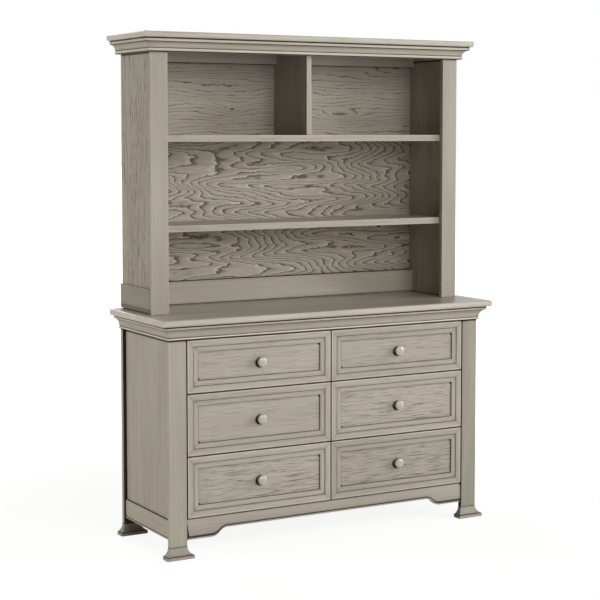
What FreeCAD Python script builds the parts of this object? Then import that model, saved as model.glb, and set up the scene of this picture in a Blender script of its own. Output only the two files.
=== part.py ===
import FreeCAD, Part
import math
import os

# Dresser with a hutch on top, built as the furniture is: a case of posts, frames and panels, six drawers
# on telescopic slides, and an open hutch of stiles, panels, shelves and mouldings.
# Millimetres. +X is to the right, +Y to the back, +Z up. The origin is on the floor, under the centre of
# the whole piece. Sizes that end in _OUT are measured outwards from a face, and in _SET inwards from it.

# Case: posts and feet
CASE_WIDTH = 1335.0
CASE_DEPTH = 430.0
POST_WIDTH = 67.5
POST_THICK = 20.0
FOOT_HEIGHT = 42.0
FOOT_FLARE = 20.0
FOOT_BLOCK_HEIGHT = 13.0
FOOT_STEP = 3.0

# Case: side frames
SIDE_RAIL_SET = 5.0
SIDE_RAIL_THICK = 20.0
SIDE_RAIL_BOTTOM = 66.0
SIDE_PANEL_SET = 12.0
SIDE_PANEL_THICK = 16.0

# Case: apron, and the bead along the lower edges of apron and side rails
APRON_TOP = 137.75
APRON_SET = 3.0
APRON_THICK = 20.0
APRON_END_BOTTOM = 63.0
APRON_MIDDLE_BOTTOM = 92.0
APRON_END_LENGTH = 100.0
APRON_OGEE_LENGTH = 65.0
BEAD_STRIP_HEIGHT = 7.0
BEAD_STRIP_OUT = 1.5

# Case: inside
BASE_THICK = 12.0
PARTITION_THICK = 18.0
CROSS_RAIL_HEIGHT = 30.0
CROSS_RAIL_DEPTH = 18.0
BACK_RAIL_THICK = 20.0
BACK_PANEL_THICK = 4.0
BACK_PANEL_SET = 4.0
TOP_RAIL_HEIGHT = 52.0
RUNNER_RAIL_THICK = 20.0
RUNNER_RAIL_HEIGHT = 60.0

# Dresser top and the moulding under it
TOP_THICK = 24.0
TOP_OVERHANG = 44.0
TOP_UPPER_ROUND = 7.0
TOP_LOWER_ROUND = 9.0
MOULDING_BEAD_HEIGHT = 9.0
MOULDING_BEAD_OUT = 7.4
MOULDING_QUIRK_OUT = 4.5
MOULDING_HOLLOW_RISE = 12.0
MOULDING_HOLLOW_FOOT_OUT = 6.0
MOULDING_HOLLOW_HEAD_OUT = 24.0
MOULDING_HOLLOW_DEPTH = 4.7
MOULDING_FILLET_OUT = 28.0
MOULDING_FILLET_HEIGHT = 12.0

# Drawer fronts, by row
DRAWER_GAP = 3.5
LOWER_FRONT_HEIGHT = 221.6
MIDDLE_FRONT_HEIGHT = 223.4
UPPER_FRONT_HEIGHT = 191.2
FRONT_THICK = 20.0
FRONT_SET = 0.5
FRAME_WIDTH = 44.5
FRAME_FLAT = 24.0
QUIRK_WIDTH = 1.6
QUIRK_DEPTH = 2.2
FRAME_SLOPE_SET = 1.4
FRAME_LIP_SET = 2.8
FRAME_LIP_WIDTH = 1.6
PANEL_SET = 7.0
PANEL_TONGUE = 6.0

# Drawer boxes
BOX_RISE = 22.0
BOX_DROP = 35.0
BOX_REAR_CLEARANCE = 11.5
BOX_WALL = 12.0
BOX_FLOOR_THICK = 5.0
BOX_FLOOR_RISE = 8.0
BOX_GROOVE = 5.0
FRONT_REAR_CLEARANCE = 1.5

# Slides: three nested channels
SLIDE_SPACE = 12.7
SLIDE_HEIGHT = 45.0
SLIDE_END_SET = 18.5
SLIDE_SHEET = 1.2
SLIDE_PLAY = 0.4

# Knobs and their screws
KNOB_RADIUS = 18.5
KNOB_LENGTH = 27.0
KNOB_FOOT_RADIUS = 13.0
KNOB_FOOT_LENGTH = 2.5
KNOB_NECK_RADIUS = 8.5
KNOB_NECK_LENGTH = 9.0
KNOB_RIM_HEIGHT = 4.0
KNOB_DOME_HEIGHT = 5.5
KNOB_SCREW_RADIUS = 2.0
KNOB_SCREW_BITE = 14.0
KNOB_SCREW_CLEARANCE = 0.2
KNOB_SCREW_HEAD_RADIUS = 4.0
KNOB_SCREW_HEAD_LENGTH = 2.5

# Hutch: frame
HUTCH_SIDE_SET = 1.5
HUTCH_SETBACK = 143.7
STILE_WIDTH = 66.0
STILE_THICK = 20.0
STILE_HEIGHT = 996.0
HUTCH_PANEL_SET = 8.0
HUTCH_PANEL_THICK = 24.0
PLINTH_HEIGHT = 89.0
PLINTH_GAP = 4.0
PLINTH_BEAD_HEIGHT = 11.0
PLINTH_QUIRK = 1.5
HUTCH_BACK_THICK = 5.0
HUTCH_BACK_GAP = 2.0
HUTCH_RAIL_THICK = 21.5
LOW_BACK_RAIL_HEIGHT = 90.0
HIGH_BACK_RAIL_HEIGHT = 72.5

# Hutch: shelves, heights taken from the dresser top
SHELF_THICK = 24.0
SHELF_SETBACK = 2.3
SHELF_CLEARANCE = 0.5
LOWER_SHELF_HEIGHT = 296.5
UPPER_SHELF_HEIGHT = 625.5
DIVIDER_THICK = 20.0
PIN_RADIUS = 3.0
PIN_DEPTH = 10.0
PIN_OUT = 10.0
PIN_INSET = 65.0

# Hutch: top and crown moulding
HUTCH_TOP_THICK = 22.0
HUTCH_TOP_OVERHANG = 48.0
HUTCH_TOP_UPPER_ROUND = 6.0
HUTCH_TOP_LOWER_ROUND = 8.0
CROWN_HEIGHT = 48.0
CROWN_BEAD_HEIGHT = 13.0
CROWN_BEAD_OUT = 16.0
CROWN_QUIRK_OUT = 13.0
CROWN_HOLLOW_RISE = 15.0
CROWN_HOLLOW_FOOT_OUT = 14.7
CROWN_HOLLOW_HEAD_OUT = 34.0
CROWN_HOLLOW_DEPTH = 5.0
CROWN_FILLET_OUT = 36.0
CROWN_FILLET_HEIGHT = 13.0

# Joining plates at the back
PLATE_THICK = 2.0
PLATE_WIDTH = 20.0
PLATE_BELOW = 60.0
PLATE_ABOVE = 60.0
PLATE_SCREW_RADIUS = 2.0
PLATE_SCREW_HEAD_RADIUS = 3.6
PLATE_SCREW_LENGTH = 18.0
PLATE_SCREW_EDGE = 10.0
PLATE_SCREW_STEP = 18.0

# Planes and lines that several pieces share
FRONT_Y = (TOP_OVERHANG - CASE_DEPTH - PLATE_THICK) / 2.0
BACK_Y = FRONT_Y + CASE_DEPTH
HALF_CASE = CASE_WIDTH / 2.0
HALF_OPENING = HALF_CASE - POST_WIDTH
POST_BACK_Y = FRONT_Y + POST_THICK
REAR_POST_Y = BACK_Y - POST_THICK
FRONT_HEIGHTS = {"lower": LOWER_FRONT_HEIGHT, "middle": MIDDLE_FRONT_HEIGHT, "upper": UPPER_FRONT_HEIGHT}
MOULDING_BOTTOM = APRON_TOP + sum(FRONT_HEIGHTS.values()) + 4.0 * DRAWER_GAP
TOP_BOTTOM = MOULDING_BOTTOM + TOP_RAIL_HEIGHT
TOP_Z = TOP_BOTTOM + TOP_THICK
FRONT_FACE_Y = FRONT_Y + FRONT_SET
FRONT_BACK_Y = FRONT_FACE_Y + FRONT_THICK
INNER_Y = FRONT_BACK_Y + FRONT_REAR_CLEARANCE
BACK_PANEL_Y = BACK_Y - BACK_PANEL_SET - BACK_PANEL_THICK
BACK_RAIL_Y = BACK_PANEL_Y - BACK_RAIL_THICK
BOX_END_Y = BACK_RAIL_Y - BOX_REAR_CLEARANCE
SLIDE_END_Y = BOX_END_Y - SLIDE_END_SET
SIDE_PANEL_X = HALF_CASE - SIDE_PANEL_SET - SIDE_PANEL_THICK
HALF_HUTCH = HALF_CASE - HUTCH_SIDE_SET
HUTCH_Y = FRONT_Y + HUTCH_SETBACK
STILE_BACK_Y = HUTCH_Y + STILE_THICK
HUTCH_OPENING = HALF_HUTCH - STILE_WIDTH
HUTCH_PANEL_X = HALF_HUTCH - HUTCH_PANEL_SET - HUTCH_PANEL_THICK
HUTCH_TOP_BOTTOM = TOP_Z + STILE_HEIGHT
HUTCH_BACK_Y = BACK_Y - HUTCH_BACK_THICK
HUTCH_RAIL_Y = HUTCH_BACK_Y - HUTCH_RAIL_THICK
SHELF_Y = STILE_BACK_Y + SHELF_SETBACK
CROWN_BOTTOM = HUTCH_TOP_BOTTOM - CROWN_HEIGHT


def vec(x, y, z):
    return FreeCAD.Vector(x, y, z)


def block(x0, x1, y0, y1, z0, z1):
    """A board between two planes each way."""
    return Part.makeBox(x1 - x0, y1 - y0, z1 - z0, vec(x0, y0, z0))


def mirrored(shape):
    """The same piece on the other side of the centre plane."""
    return shape.mirror(vec(0, 0, 0), vec(1, 0, 0))


def prism(points, along):
    """A flat outline with straight sides, carried along a vector."""
    return Part.Face(Part.makePolygon(points + [points[0]])).extrude(along)


def arc(start, middle, end):
    return Part.Arc(start, middle, end).toShape()


def line(start, end):
    return Part.LineSegment(start, end).toShape()


def group(solids):
    return Part.makeCompound(solids)


def rods(radius, length, places, along):
    """Equal round rods from each place."""
    return [Part.makeCylinder(radius, length, place, along) for place in places]


# ---------------------------------------------------------------- mouldings

def hollow_middle(foot, head, depth):
    """The point of a hollow half way up, the given depth behind the straight line."""
    run = (head[0] - foot[0], head[1] - foot[1])
    length = math.hypot(*run)
    across = (-run[1] / length * depth, run[0] / length * depth)
    return ((foot[0] + head[0]) / 2.0 + across[0], (foot[1] + head[1]) / 2.0 + across[1])


def cornice_face(place, bottom, top, bead, quirk_out, hollow, fillet):
    """Section of a moulding: bead below, a hollow that leans outwards, and an upright fillet on top.

    place turns (distance out, height) into a point."""
    bead_height, bead_out = bead
    rise, foot_out, head_out, depth = hollow
    fillet_out, fillet_height = fillet
    bead_top = bottom + bead_height
    foot = (foot_out, bottom + rise)
    head = (head_out, top - fillet_height)
    middle = hollow_middle(foot, head, depth)
    edges = [
        line(place(0, bottom), place(quirk_out, bottom)),
        arc(place(quirk_out, bottom), place(bead_out, bottom + bead_height / 2.0), place(quirk_out, bead_top)),
        line(place(quirk_out, bead_top), place(*foot)),
        arc(place(*foot), place(*middle), place(*head)),
        line(place(*head), place(fillet_out, head[1])),
        line(place(fillet_out, head[1]), place(fillet_out, top)),
        line(place(fillet_out, top), place(0, top)),
        line(place(0, top), place(0, bottom)),
    ]
    return Part.Face(Part.Wire(edges))


def mitred_cornice(half, front_y, section, reach, bottom, top):
    """Front, right and left lengths of a moulding that runs round three sides, mitred at the corners."""
    height = vec(0, 0, top - bottom)
    front = section(lambda out, z: vec(-half - reach, front_y - out, z)).extrude(vec(2 * (half + reach), 0, 0))
    front_mitre = prism([vec(-half - reach, front_y - reach, bottom), vec(half + reach, front_y - reach, bottom),
                         vec(half, front_y, bottom), vec(-half, front_y, bottom)], height)
    side = section(lambda out, z: vec(half + out, front_y - reach, z)).extrude(
        vec(0, BACK_Y - front_y + reach, 0))
    side_mitre = prism([vec(half, front_y, bottom), vec(half + reach, front_y - reach, bottom),
                        vec(half + reach, BACK_Y, bottom), vec(half, BACK_Y, bottom)], height)
    right = side.common(side_mitre)
    return [front.common(front_mitre), right, mirrored(right)]


def top_moulding():
    def section(place):
        hollow = (MOULDING_HOLLOW_RISE, MOULDING_HOLLOW_FOOT_OUT, MOULDING_HOLLOW_HEAD_OUT, MOULDING_HOLLOW_DEPTH)
        return cornice_face(place, MOULDING_BOTTOM, TOP_BOTTOM, (MOULDING_BEAD_HEIGHT, MOULDING_BEAD_OUT),
                            MOULDING_QUIRK_OUT, hollow, (MOULDING_FILLET_OUT, MOULDING_FILLET_HEIGHT))

    return mitred_cornice(HALF_CASE, FRONT_Y, section, MOULDING_FILLET_OUT, MOULDING_BOTTOM, TOP_BOTTOM)


def crown_moulding():
    def section(place):
        hollow = (CROWN_HOLLOW_RISE, CROWN_HOLLOW_FOOT_OUT, CROWN_HOLLOW_HEAD_OUT, CROWN_HOLLOW_DEPTH)
        return cornice_face(place, CROWN_BOTTOM, HUTCH_TOP_BOTTOM, (CROWN_BEAD_HEIGHT, CROWN_BEAD_OUT),
                            CROWN_QUIRK_OUT, hollow, (CROWN_FILLET_OUT, CROWN_FILLET_HEIGHT))

    return mitred_cornice(HALF_HUTCH, HUTCH_Y, section, CROWN_FILLET_OUT, CROWN_BOTTOM, HUTCH_TOP_BOTTOM)


def rounded_top(half, y0, z0, thick, upper_round, lower_round):
    """A top board, rounded along its front and side edges and square at the back."""
    board = block(-half, half, y0, BACK_Y, z0, z0 + thick)

    def outer_edges(shape, height):
        chosen = []
        for edge in shape.Edges:
            box = edge.BoundBox
            level = abs(box.ZMin - height) < 1e-6 and abs(box.ZMax - height) < 1e-6
            if level and box.YMin < BACK_Y - 1e-6:
                chosen.append(edge)
        return chosen

    board = board.makeFillet(lower_round, outer_edges(board, z0))
    return board.makeFillet(upper_round, outer_edges(board, z0 + thick))


# ---------------------------------------------------------------- case

def foot(front_y):
    """Right foot of a post whose front face is at front_y: a square block, then a hollow up to the post.

    The hollow is an arc that ends upright at the post."""
    inner, outer, back = HALF_OPENING, HALF_CASE, front_y + POST_THICK
    neck_out = FOOT_FLARE - FOOT_STEP
    rise = FOOT_HEIGHT - FOOT_BLOCK_HEIGHT
    radius = (neck_out ** 2 + rise ** 2) / (2.0 * neck_out)
    neck = block(inner - neck_out, outer + neck_out, front_y - neck_out, back, FOOT_BLOCK_HEIGHT, FOOT_HEIGHT)
    length = POST_WIDTH + 4.0 * FOOT_FLARE + POST_THICK
    across = Part.makeCylinder(radius, length, vec(inner - 2 * FOOT_FLARE, front_y - radius, FOOT_HEIGHT),
                               vec(1, 0, 0))
    start_y = front_y - 2 * FOOT_FLARE
    right = Part.makeCylinder(radius, length, vec(outer + radius, start_y, FOOT_HEIGHT), vec(0, 1, 0))
    left = Part.makeCylinder(radius, length, vec(inner - radius, start_y, FOOT_HEIGHT), vec(0, 1, 0))
    neck = neck.cut(across).cut(right).cut(left)
    base = block(inner - FOOT_FLARE, outer + FOOT_FLARE, front_y - FOOT_FLARE, back, 0, FOOT_BLOCK_HEIGHT)
    return base.fuse(neck).removeSplitter()


def feet():
    right = [foot(FRONT_Y), foot(REAR_POST_Y)]
    return right + [mirrored(shape) for shape in right]


def post(front_y):
    return block(HALF_OPENING, HALF_CASE, front_y, front_y + POST_THICK, FOOT_HEIGHT, TOP_BOTTOM)


def side_panel():
    return block(SIDE_PANEL_X, SIDE_PANEL_X + SIDE_PANEL_THICK, POST_BACK_Y, REAR_POST_Y, APRON_TOP,
                 MOULDING_BOTTOM)


def side_rails():
    """Low rail with a bead along its lower edge, and the high rail behind the moulding."""
    outer = HALF_CASE - SIDE_RAIL_SET
    inner = outer - SIDE_RAIL_THICK
    low = block(inner, outer - BEAD_STRIP_OUT, POST_BACK_Y, REAR_POST_Y, SIDE_RAIL_BOTTOM, APRON_TOP)
    bead_top = SIDE_RAIL_BOTTOM + BEAD_STRIP_HEIGHT
    bead = block(inner, outer, POST_BACK_Y, REAR_POST_Y, SIDE_RAIL_BOTTOM, bead_top)
    high = block(HALF_CASE - SIDE_RAIL_THICK, HALF_CASE, POST_BACK_Y, REAR_POST_Y, MOULDING_BOTTOM, TOP_BOTTOM)
    right = [low.fuse(bead).removeSplitter(), high]
    return right + [mirrored(shape) for shape in right]


def ogee_edges(lift, y):
    """Lower line of the apron from its right end to the middle, raised by lift."""
    end_x = HALF_OPENING
    turn_x = HALF_OPENING - APRON_END_LENGTH
    flat_x = turn_x - APRON_OGEE_LENGTH
    low, high = APRON_END_BOTTOM + lift, APRON_MIDDLE_BOTTOM + lift
    run, rise = APRON_OGEE_LENGTH / 2.0, (high - low) / 2.0
    radius = (run ** 2 + rise ** 2) / (2.0 * rise)
    half_turn = math.asin(run / radius) / 2.0
    bow_x, bow_z = radius * math.sin(half_turn), radius * (1.0 - math.cos(half_turn))
    centre = vec(turn_x - run, y, low + rise)
    return [
        line(vec(end_x, y, low), vec(turn_x, y, low)),
        arc(vec(turn_x, y, low), vec(turn_x - bow_x, y, low + bow_z), centre),
        arc(centre, vec(flat_x + bow_x, y, high - bow_z), vec(flat_x, y, high)),
    ]


def apron_face(lift, y):
    """Outline of the apron above its lower line raised by lift."""
    right = ogee_edges(lift, y)
    flat_x = HALF_OPENING - APRON_END_LENGTH - APRON_OGEE_LENGTH
    left = [mirrored(edge) for edge in right]
    low, high = APRON_END_BOTTOM + lift, APRON_MIDDLE_BOTTOM + lift
    middle = line(vec(flat_x, y, high), vec(-flat_x, y, high))
    end = HALF_OPENING
    frame = [
        line(vec(-end, y, low), vec(-end, y, APRON_TOP)),
        line(vec(-end, y, APRON_TOP), vec(end, y, APRON_TOP)),
        line(vec(end, y, APRON_TOP), vec(end, y, low)),
    ]
    return Part.Face(Part.Wire(Part.__sortEdges__(right + [middle] + left + frame)))


def front_apron():
    """Apron between the front posts, cut back above the bead that follows its lower line."""
    y = FRONT_Y + APRON_SET
    board = apron_face(0.0, y).extrude(vec(0, APRON_THICK, 0))
    return board.cut(apron_face(BEAD_STRIP_HEIGHT, y).extrude(vec(0, BEAD_STRIP_OUT, 0)))


def cross_rails():
    """Rails from side to side: top front, behind the drawer gaps, and top and bottom at the back."""
    rails = [
        block(-HALF_OPENING, HALF_OPENING, FRONT_Y, POST_BACK_Y, MOULDING_BOTTOM, TOP_BOTTOM),
        block(-HALF_OPENING, HALF_OPENING, BACK_RAIL_Y, BACK_PANEL_Y, MOULDING_BOTTOM, TOP_BOTTOM),
        block(-HALF_OPENING, HALF_OPENING, BACK_RAIL_Y, BACK_PANEL_Y, SIDE_RAIL_BOTTOM, APRON_TOP),
    ]
    for row in ("middle", "upper"):
        middle_z = row_bottom(row) - DRAWER_GAP / 2.0
        rail = block(PARTITION_THICK / 2.0, SIDE_PANEL_X, INNER_Y, INNER_Y + CROSS_RAIL_DEPTH,
                     middle_z - CROSS_RAIL_HEIGHT / 2.0, middle_z + CROSS_RAIL_HEIGHT / 2.0)
        rails += [rail, mirrored(rail)]
    return rails


def base_panel():
    inner = HALF_CASE - SIDE_RAIL_SET - SIDE_RAIL_THICK
    return block(-inner, inner, FRONT_Y + APRON_SET + APRON_THICK, BACK_RAIL_Y, APRON_TOP - BASE_THICK, APRON_TOP)


def centre_partition():
    half = PARTITION_THICK / 2.0
    return block(-half, half, INNER_Y, BACK_RAIL_Y, APRON_TOP, TOP_BOTTOM)


def dresser_back():
    return block(-HALF_OPENING, HALF_OPENING, BACK_PANEL_Y, BACK_PANEL_Y + BACK_PANEL_THICK, SIDE_RAIL_BOTTOM,
                 TOP_BOTTOM)


def runner_rails():
    """Rails between front and back post that carry the outer slides of the side columns."""
    rails = []
    for row in FRONT_HEIGHTS:
        z = slide_z(row)
        rail = block(HALF_OPENING, HALF_OPENING + RUNNER_RAIL_THICK, POST_BACK_Y, REAR_POST_Y,
                     z - RUNNER_RAIL_HEIGHT / 2.0, z + RUNNER_RAIL_HEIGHT / 2.0)
        rails += [rail, mirrored(rail)]
    return rails


# ---------------------------------------------------------------- drawers

def row_bottom(row):
    """Height of the lower edge of the drawer fronts in a row."""
    z = APRON_TOP + DRAWER_GAP
    for name, height in FRONT_HEIGHTS.items():
        if name == row:
            return z
        z += height + DRAWER_GAP


def front_box(row):
    """Left, right, lower and upper edge of a front in the right column."""
    z = row_bottom(row)
    return DRAWER_GAP / 2.0, HALF_OPENING - DRAWER_GAP, z, z + FRONT_HEIGHTS[row]


def box_heights(row):
    """Lower and upper edge of a drawer box."""
    z = row_bottom(row)
    return z + BOX_RISE, z + FRONT_HEIGHTS[row] - BOX_DROP


def slide_z(row):
    low, high = box_heights(row)
    return (low + high) / 2.0


def frame_member(length):
    """One length of the moulded drawer frame along +X, its inner side towards +Z, mitred at both ends.

    Section: a flat, a quirk, a gentle slope, a lip, and a rebate for the panel behind."""
    def at(inwards, depth):
        return vec(0, depth, inwards)

    slope_start = FRAME_FLAT + QUIRK_WIDTH
    slope_end = FRAME_WIDTH - FRAME_LIP_WIDTH
    edges = [
        line(at(0, 0), at(FRAME_FLAT, 0)),
        line(at(FRAME_FLAT, 0), at(FRAME_FLAT, QUIRK_DEPTH)),
        line(at(FRAME_FLAT, QUIRK_DEPTH), at(slope_start, QUIRK_DEPTH)),
        line(at(slope_start, QUIRK_DEPTH), at(slope_start, FRAME_SLOPE_SET)),
        line(at(slope_start, FRAME_SLOPE_SET), at(slope_end, FRAME_LIP_SET)),
        line(at(slope_end, FRAME_LIP_SET), at(FRAME_WIDTH, FRAME_LIP_SET)),
        line(at(FRAME_WIDTH, FRAME_LIP_SET), at(FRAME_WIDTH, PANEL_SET)),
        line(at(FRAME_WIDTH, PANEL_SET), at(FRAME_WIDTH - PANEL_TONGUE, PANEL_SET)),
        line(at(FRAME_WIDTH - PANEL_TONGUE, PANEL_SET), at(FRAME_WIDTH - PANEL_TONGUE, FRONT_THICK)),
        line(at(FRAME_WIDTH - PANEL_TONGUE, FRONT_THICK), at(0, FRONT_THICK)),
        line(at(0, FRONT_THICK), at(0, 0)),
    ]
    member = Part.Face(Part.Wire(edges)).extrude(vec(length, 0, 0))
    mitre = prism([vec(0, 0, 0), vec(length, 0, 0), vec(length - FRAME_WIDTH, 0, FRAME_WIDTH),
                   vec(FRAME_WIDTH, 0, FRAME_WIDTH)], vec(0, FRONT_THICK, 0))
    return member.common(mitre)


def knob_centre(row):
    x0, x1, z0, z1 = front_box(row)
    return (x0 + x1) / 2.0, (z0 + z1) / 2.0


def drawer_front(row):
    """Four mitred lengths round a flat panel; each length is turned a quarter from the one before."""
    x0, x1, z0, z1 = front_box(row)
    corners = [(x0, z0), (x1, z0), (x1, z1), (x0, z1)]
    solids = []
    for turn, (x, z) in enumerate(corners):
        member = frame_member((x1 - x0) if turn % 2 == 0 else (z1 - z0))
        member.rotate(vec(0, 0, 0), vec(0, 1, 0), -90.0 * turn)
        member.translate(vec(x, FRONT_FACE_Y, z))
        solids.append(member)
    edge = FRAME_WIDTH - PANEL_TONGUE
    panel = block(x0 + edge, x1 - edge, FRONT_FACE_Y + PANEL_SET, FRONT_BACK_Y, z0 + edge, z1 - edge)
    solids.append(panel.cut(screw_hole(row)))
    return solids


def screw_hole(row):
    """Hole for the knob's screw through the panel and the inner front."""
    x, z = knob_centre(row)
    return Part.makeCylinder(KNOB_SCREW_RADIUS + KNOB_SCREW_CLEARANCE, FRONT_THICK + BOX_WALL,
                             vec(x, FRONT_FACE_Y, z), vec(0, 1, 0))


def drawer_box(row):
    """Two sides, inner front, back, and a bottom held in grooves."""
    half_partition = PARTITION_THICK / 2.0
    x0, x1 = half_partition + SLIDE_SPACE, HALF_OPENING - SLIDE_SPACE
    z0, z1 = box_heights(row)
    y0, y1 = FRONT_BACK_Y, BOX_END_Y
    inset = BOX_WALL - BOX_GROOVE
    floor_z = z0 + BOX_FLOOR_RISE
    floor = block(x0 + inset, x1 - inset, y0 + inset, y1 - inset, floor_z, floor_z + BOX_FLOOR_THICK)
    walls = [
        block(x0, x0 + BOX_WALL, y0, y1, z0, z1),
        block(x1 - BOX_WALL, x1, y0, y1, z0, z1),
        block(x0 + BOX_WALL, x1 - BOX_WALL, y0, y0 + BOX_WALL, z0, z1).cut(screw_hole(row)),
        block(x0 + BOX_WALL, x1 - BOX_WALL, y1 - BOX_WALL, y1, z0, z1),
    ]
    return [wall.cut(floor) for wall in walls] + [floor]


def knob_body(x, z):
    """Turned knob: foot, thin neck, domed head with a short upright rim, and the screw's blind hole behind.

    Revolved about its screw. The dome is a cap of a sphere."""
    seat = FRONT_FACE_Y + PANEL_SET

    def at(radius, out):
        return vec(x + radius, seat - out, z)

    rim_high = KNOB_LENGTH - KNOB_DOME_HEIGHT
    rim_low = rim_high - KNOB_RIM_HEIGHT
    under = at(KNOB_RADIUS - (KNOB_RADIUS - KNOB_NECK_RADIUS) * 0.4, rim_low - (rim_low - KNOB_NECK_LENGTH) * 0.6)
    dome_radius = (KNOB_RADIUS ** 2 + KNOB_DOME_HEIGHT ** 2) / (2.0 * KNOB_DOME_HEIGHT)
    half_turn = math.asin(KNOB_RADIUS / dome_radius) / 2.0
    crest = at(dome_radius * math.sin(half_turn), KNOB_LENGTH - dome_radius * (1.0 - math.cos(half_turn)))
    edges = [
        line(at(KNOB_SCREW_RADIUS, 0), at(KNOB_FOOT_RADIUS, 0)),
        line(at(KNOB_FOOT_RADIUS, 0), at(KNOB_FOOT_RADIUS, KNOB_FOOT_LENGTH)),
        line(at(KNOB_FOOT_RADIUS, KNOB_FOOT_LENGTH), at(KNOB_NECK_RADIUS, KNOB_NECK_LENGTH)),
        arc(at(KNOB_NECK_RADIUS, KNOB_NECK_LENGTH), under, at(KNOB_RADIUS, rim_low)),
        line(at(KNOB_RADIUS, rim_low), at(KNOB_RADIUS, rim_high)),
        arc(at(KNOB_RADIUS, rim_high), crest, at(0, KNOB_LENGTH)),
        line(at(0, KNOB_LENGTH), at(0, KNOB_SCREW_BITE)),
        line(at(0, KNOB_SCREW_BITE), at(KNOB_SCREW_RADIUS, KNOB_SCREW_BITE)),
        line(at(KNOB_SCREW_RADIUS, KNOB_SCREW_BITE), at(KNOB_SCREW_RADIUS, 0)),
    ]
    return Part.Face(Part.Wire(edges)).revolve(vec(x, 0, z), vec(0, 1, 0), 360.0)


def drawer_knob(row):
    """The knob and the screw that holds it from inside the drawer."""
    x, z = knob_centre(row)
    seat = FRONT_FACE_Y + PANEL_SET
    inside = FRONT_BACK_Y + BOX_WALL
    shank = Part.makeCylinder(KNOB_SCREW_RADIUS, inside - seat + KNOB_SCREW_BITE, vec(x, inside, z),
                              vec(0, -1, 0))
    head = Part.makeCylinder(KNOB_SCREW_HEAD_RADIUS, KNOB_SCREW_HEAD_LENGTH, vec(x, inside, z), vec(0, 1, 0))
    return [knob_body(x, z), shank.fuse(head).removeSplitter()]


# ---------------------------------------------------------------- slides

def channel(web_at, flange_to, half_height):
    """Section of a channel: a web from web_at, and two flanges that reach flange_to.

    Measured from the face that carries the slide, and up and down from its middle."""
    step = SLIDE_SHEET if flange_to > web_at else -SLIDE_SHEET
    inner = half_height - SLIDE_SHEET
    return [(web_at, -half_height), (flange_to, -half_height), (flange_to, -inner), (web_at + step, -inner),
            (web_at + step, inner), (flange_to, inner), (flange_to, half_height), (web_at, half_height)]


def slide_sections():
    """Outer, middle and inner channel, each inside the one before with the play all round."""
    step = SLIDE_SHEET + SLIDE_PLAY
    outer_half = SLIDE_HEIGHT / 2.0
    mouth = SLIDE_SPACE - step
    return {
        "outer": channel(0.0, mouth, outer_half),
        "middle": channel(step, mouth, outer_half - step),
        "inner": channel(SLIDE_SPACE, 2.0 * step, outer_half - 2.0 * step),
    }


def slide_pair(row, member):
    """One member of the two slides of a drawer, on the partition and on the runner rail."""
    section = slide_sections()[member]
    z = slide_z(row)
    length = vec(0, SLIDE_END_Y - INNER_Y, 0)
    near = [vec(PARTITION_THICK / 2.0 + across, INNER_Y, z + up) for across, up in section]
    far = [vec(HALF_OPENING - across, INNER_Y, z + up) for across, up in section]
    return [prism(near, length), prism(far, length)]


def case_slides():
    solids = []
    for row in FRONT_HEIGHTS:
        for solid in slide_pair(row, "outer"):
            solids += [solid, mirrored(solid)]
    return solids


# ---------------------------------------------------------------- hutch

def stile():
    return block(HUTCH_OPENING, HALF_HUTCH, HUTCH_Y, STILE_BACK_Y, TOP_Z, HUTCH_TOP_BOTTOM)


def shelf_heights():
    return [TOP_Z + LOWER_SHELF_HEIGHT, TOP_Z + UPPER_SHELF_HEIGHT]


def pin_places(x):
    """Where the pins of one side start, two under each shelf."""
    rows = [z - PIN_RADIUS for z in shelf_heights()]
    return [vec(x, y, z) for z in rows for y in (SHELF_Y + PIN_INSET, HUTCH_RAIL_Y - PIN_INSET)]


def right_pins():
    return rods(PIN_RADIUS, PIN_DEPTH + PIN_OUT, pin_places(HUTCH_PANEL_X - PIN_OUT), vec(1, 0, 0))


def hutch_side():
    """Side panel behind the stile, with holes for the shelf pins and for the screws of the joining plate."""
    panel = block(HUTCH_PANEL_X, HUTCH_PANEL_X + HUTCH_PANEL_THICK, STILE_BACK_Y, BACK_Y, TOP_Z,
                  HUTCH_TOP_BOTTOM)
    for tool in right_pins() + plate_screws():
        panel = panel.cut(tool)
    return panel


def hutch_side_rails():
    """On each side a plinth with a quirk above its bead, and a packing strip behind the crown."""
    inner, outer = HALF_HUTCH - HUTCH_PANEL_SET, HALF_HUTCH
    low = TOP_Z + PLINTH_GAP
    plinth = block(inner, outer, STILE_BACK_Y, BACK_Y, low, low + PLINTH_HEIGHT)
    quirk_z = low + PLINTH_BEAD_HEIGHT
    quirk = block(outer - PLINTH_QUIRK, outer, STILE_BACK_Y, BACK_Y, quirk_z, quirk_z + PLINTH_QUIRK)
    packing = block(inner, outer, STILE_BACK_Y, BACK_Y, CROWN_BOTTOM, HUTCH_TOP_BOTTOM)
    right = [plinth.cut(quirk), packing]
    return right + [mirrored(shape) for shape in right]


def high_back_rail():
    return block(-HUTCH_PANEL_X, HUTCH_PANEL_X, HUTCH_RAIL_Y, HUTCH_BACK_Y,
                 HUTCH_TOP_BOTTOM - HIGH_BACK_RAIL_HEIGHT, HUTCH_TOP_BOTTOM)


def hutch_cross_rails():
    """Header behind the crown, and the low and high rail in front of the back panel."""
    low = TOP_Z + HUTCH_BACK_GAP
    return [
        block(-HUTCH_OPENING, HUTCH_OPENING, HUTCH_Y, STILE_BACK_Y, CROWN_BOTTOM, HUTCH_TOP_BOTTOM),
        block(-HUTCH_PANEL_X, HUTCH_PANEL_X, HUTCH_RAIL_Y, HUTCH_BACK_Y, low, low + LOW_BACK_RAIL_HEIGHT),
        high_back_rail(),
    ]


def hutch_back():
    return block(-HUTCH_PANEL_X, HUTCH_PANEL_X, HUTCH_BACK_Y, BACK_Y, TOP_Z + HUTCH_BACK_GAP, HUTCH_TOP_BOTTOM)


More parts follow.
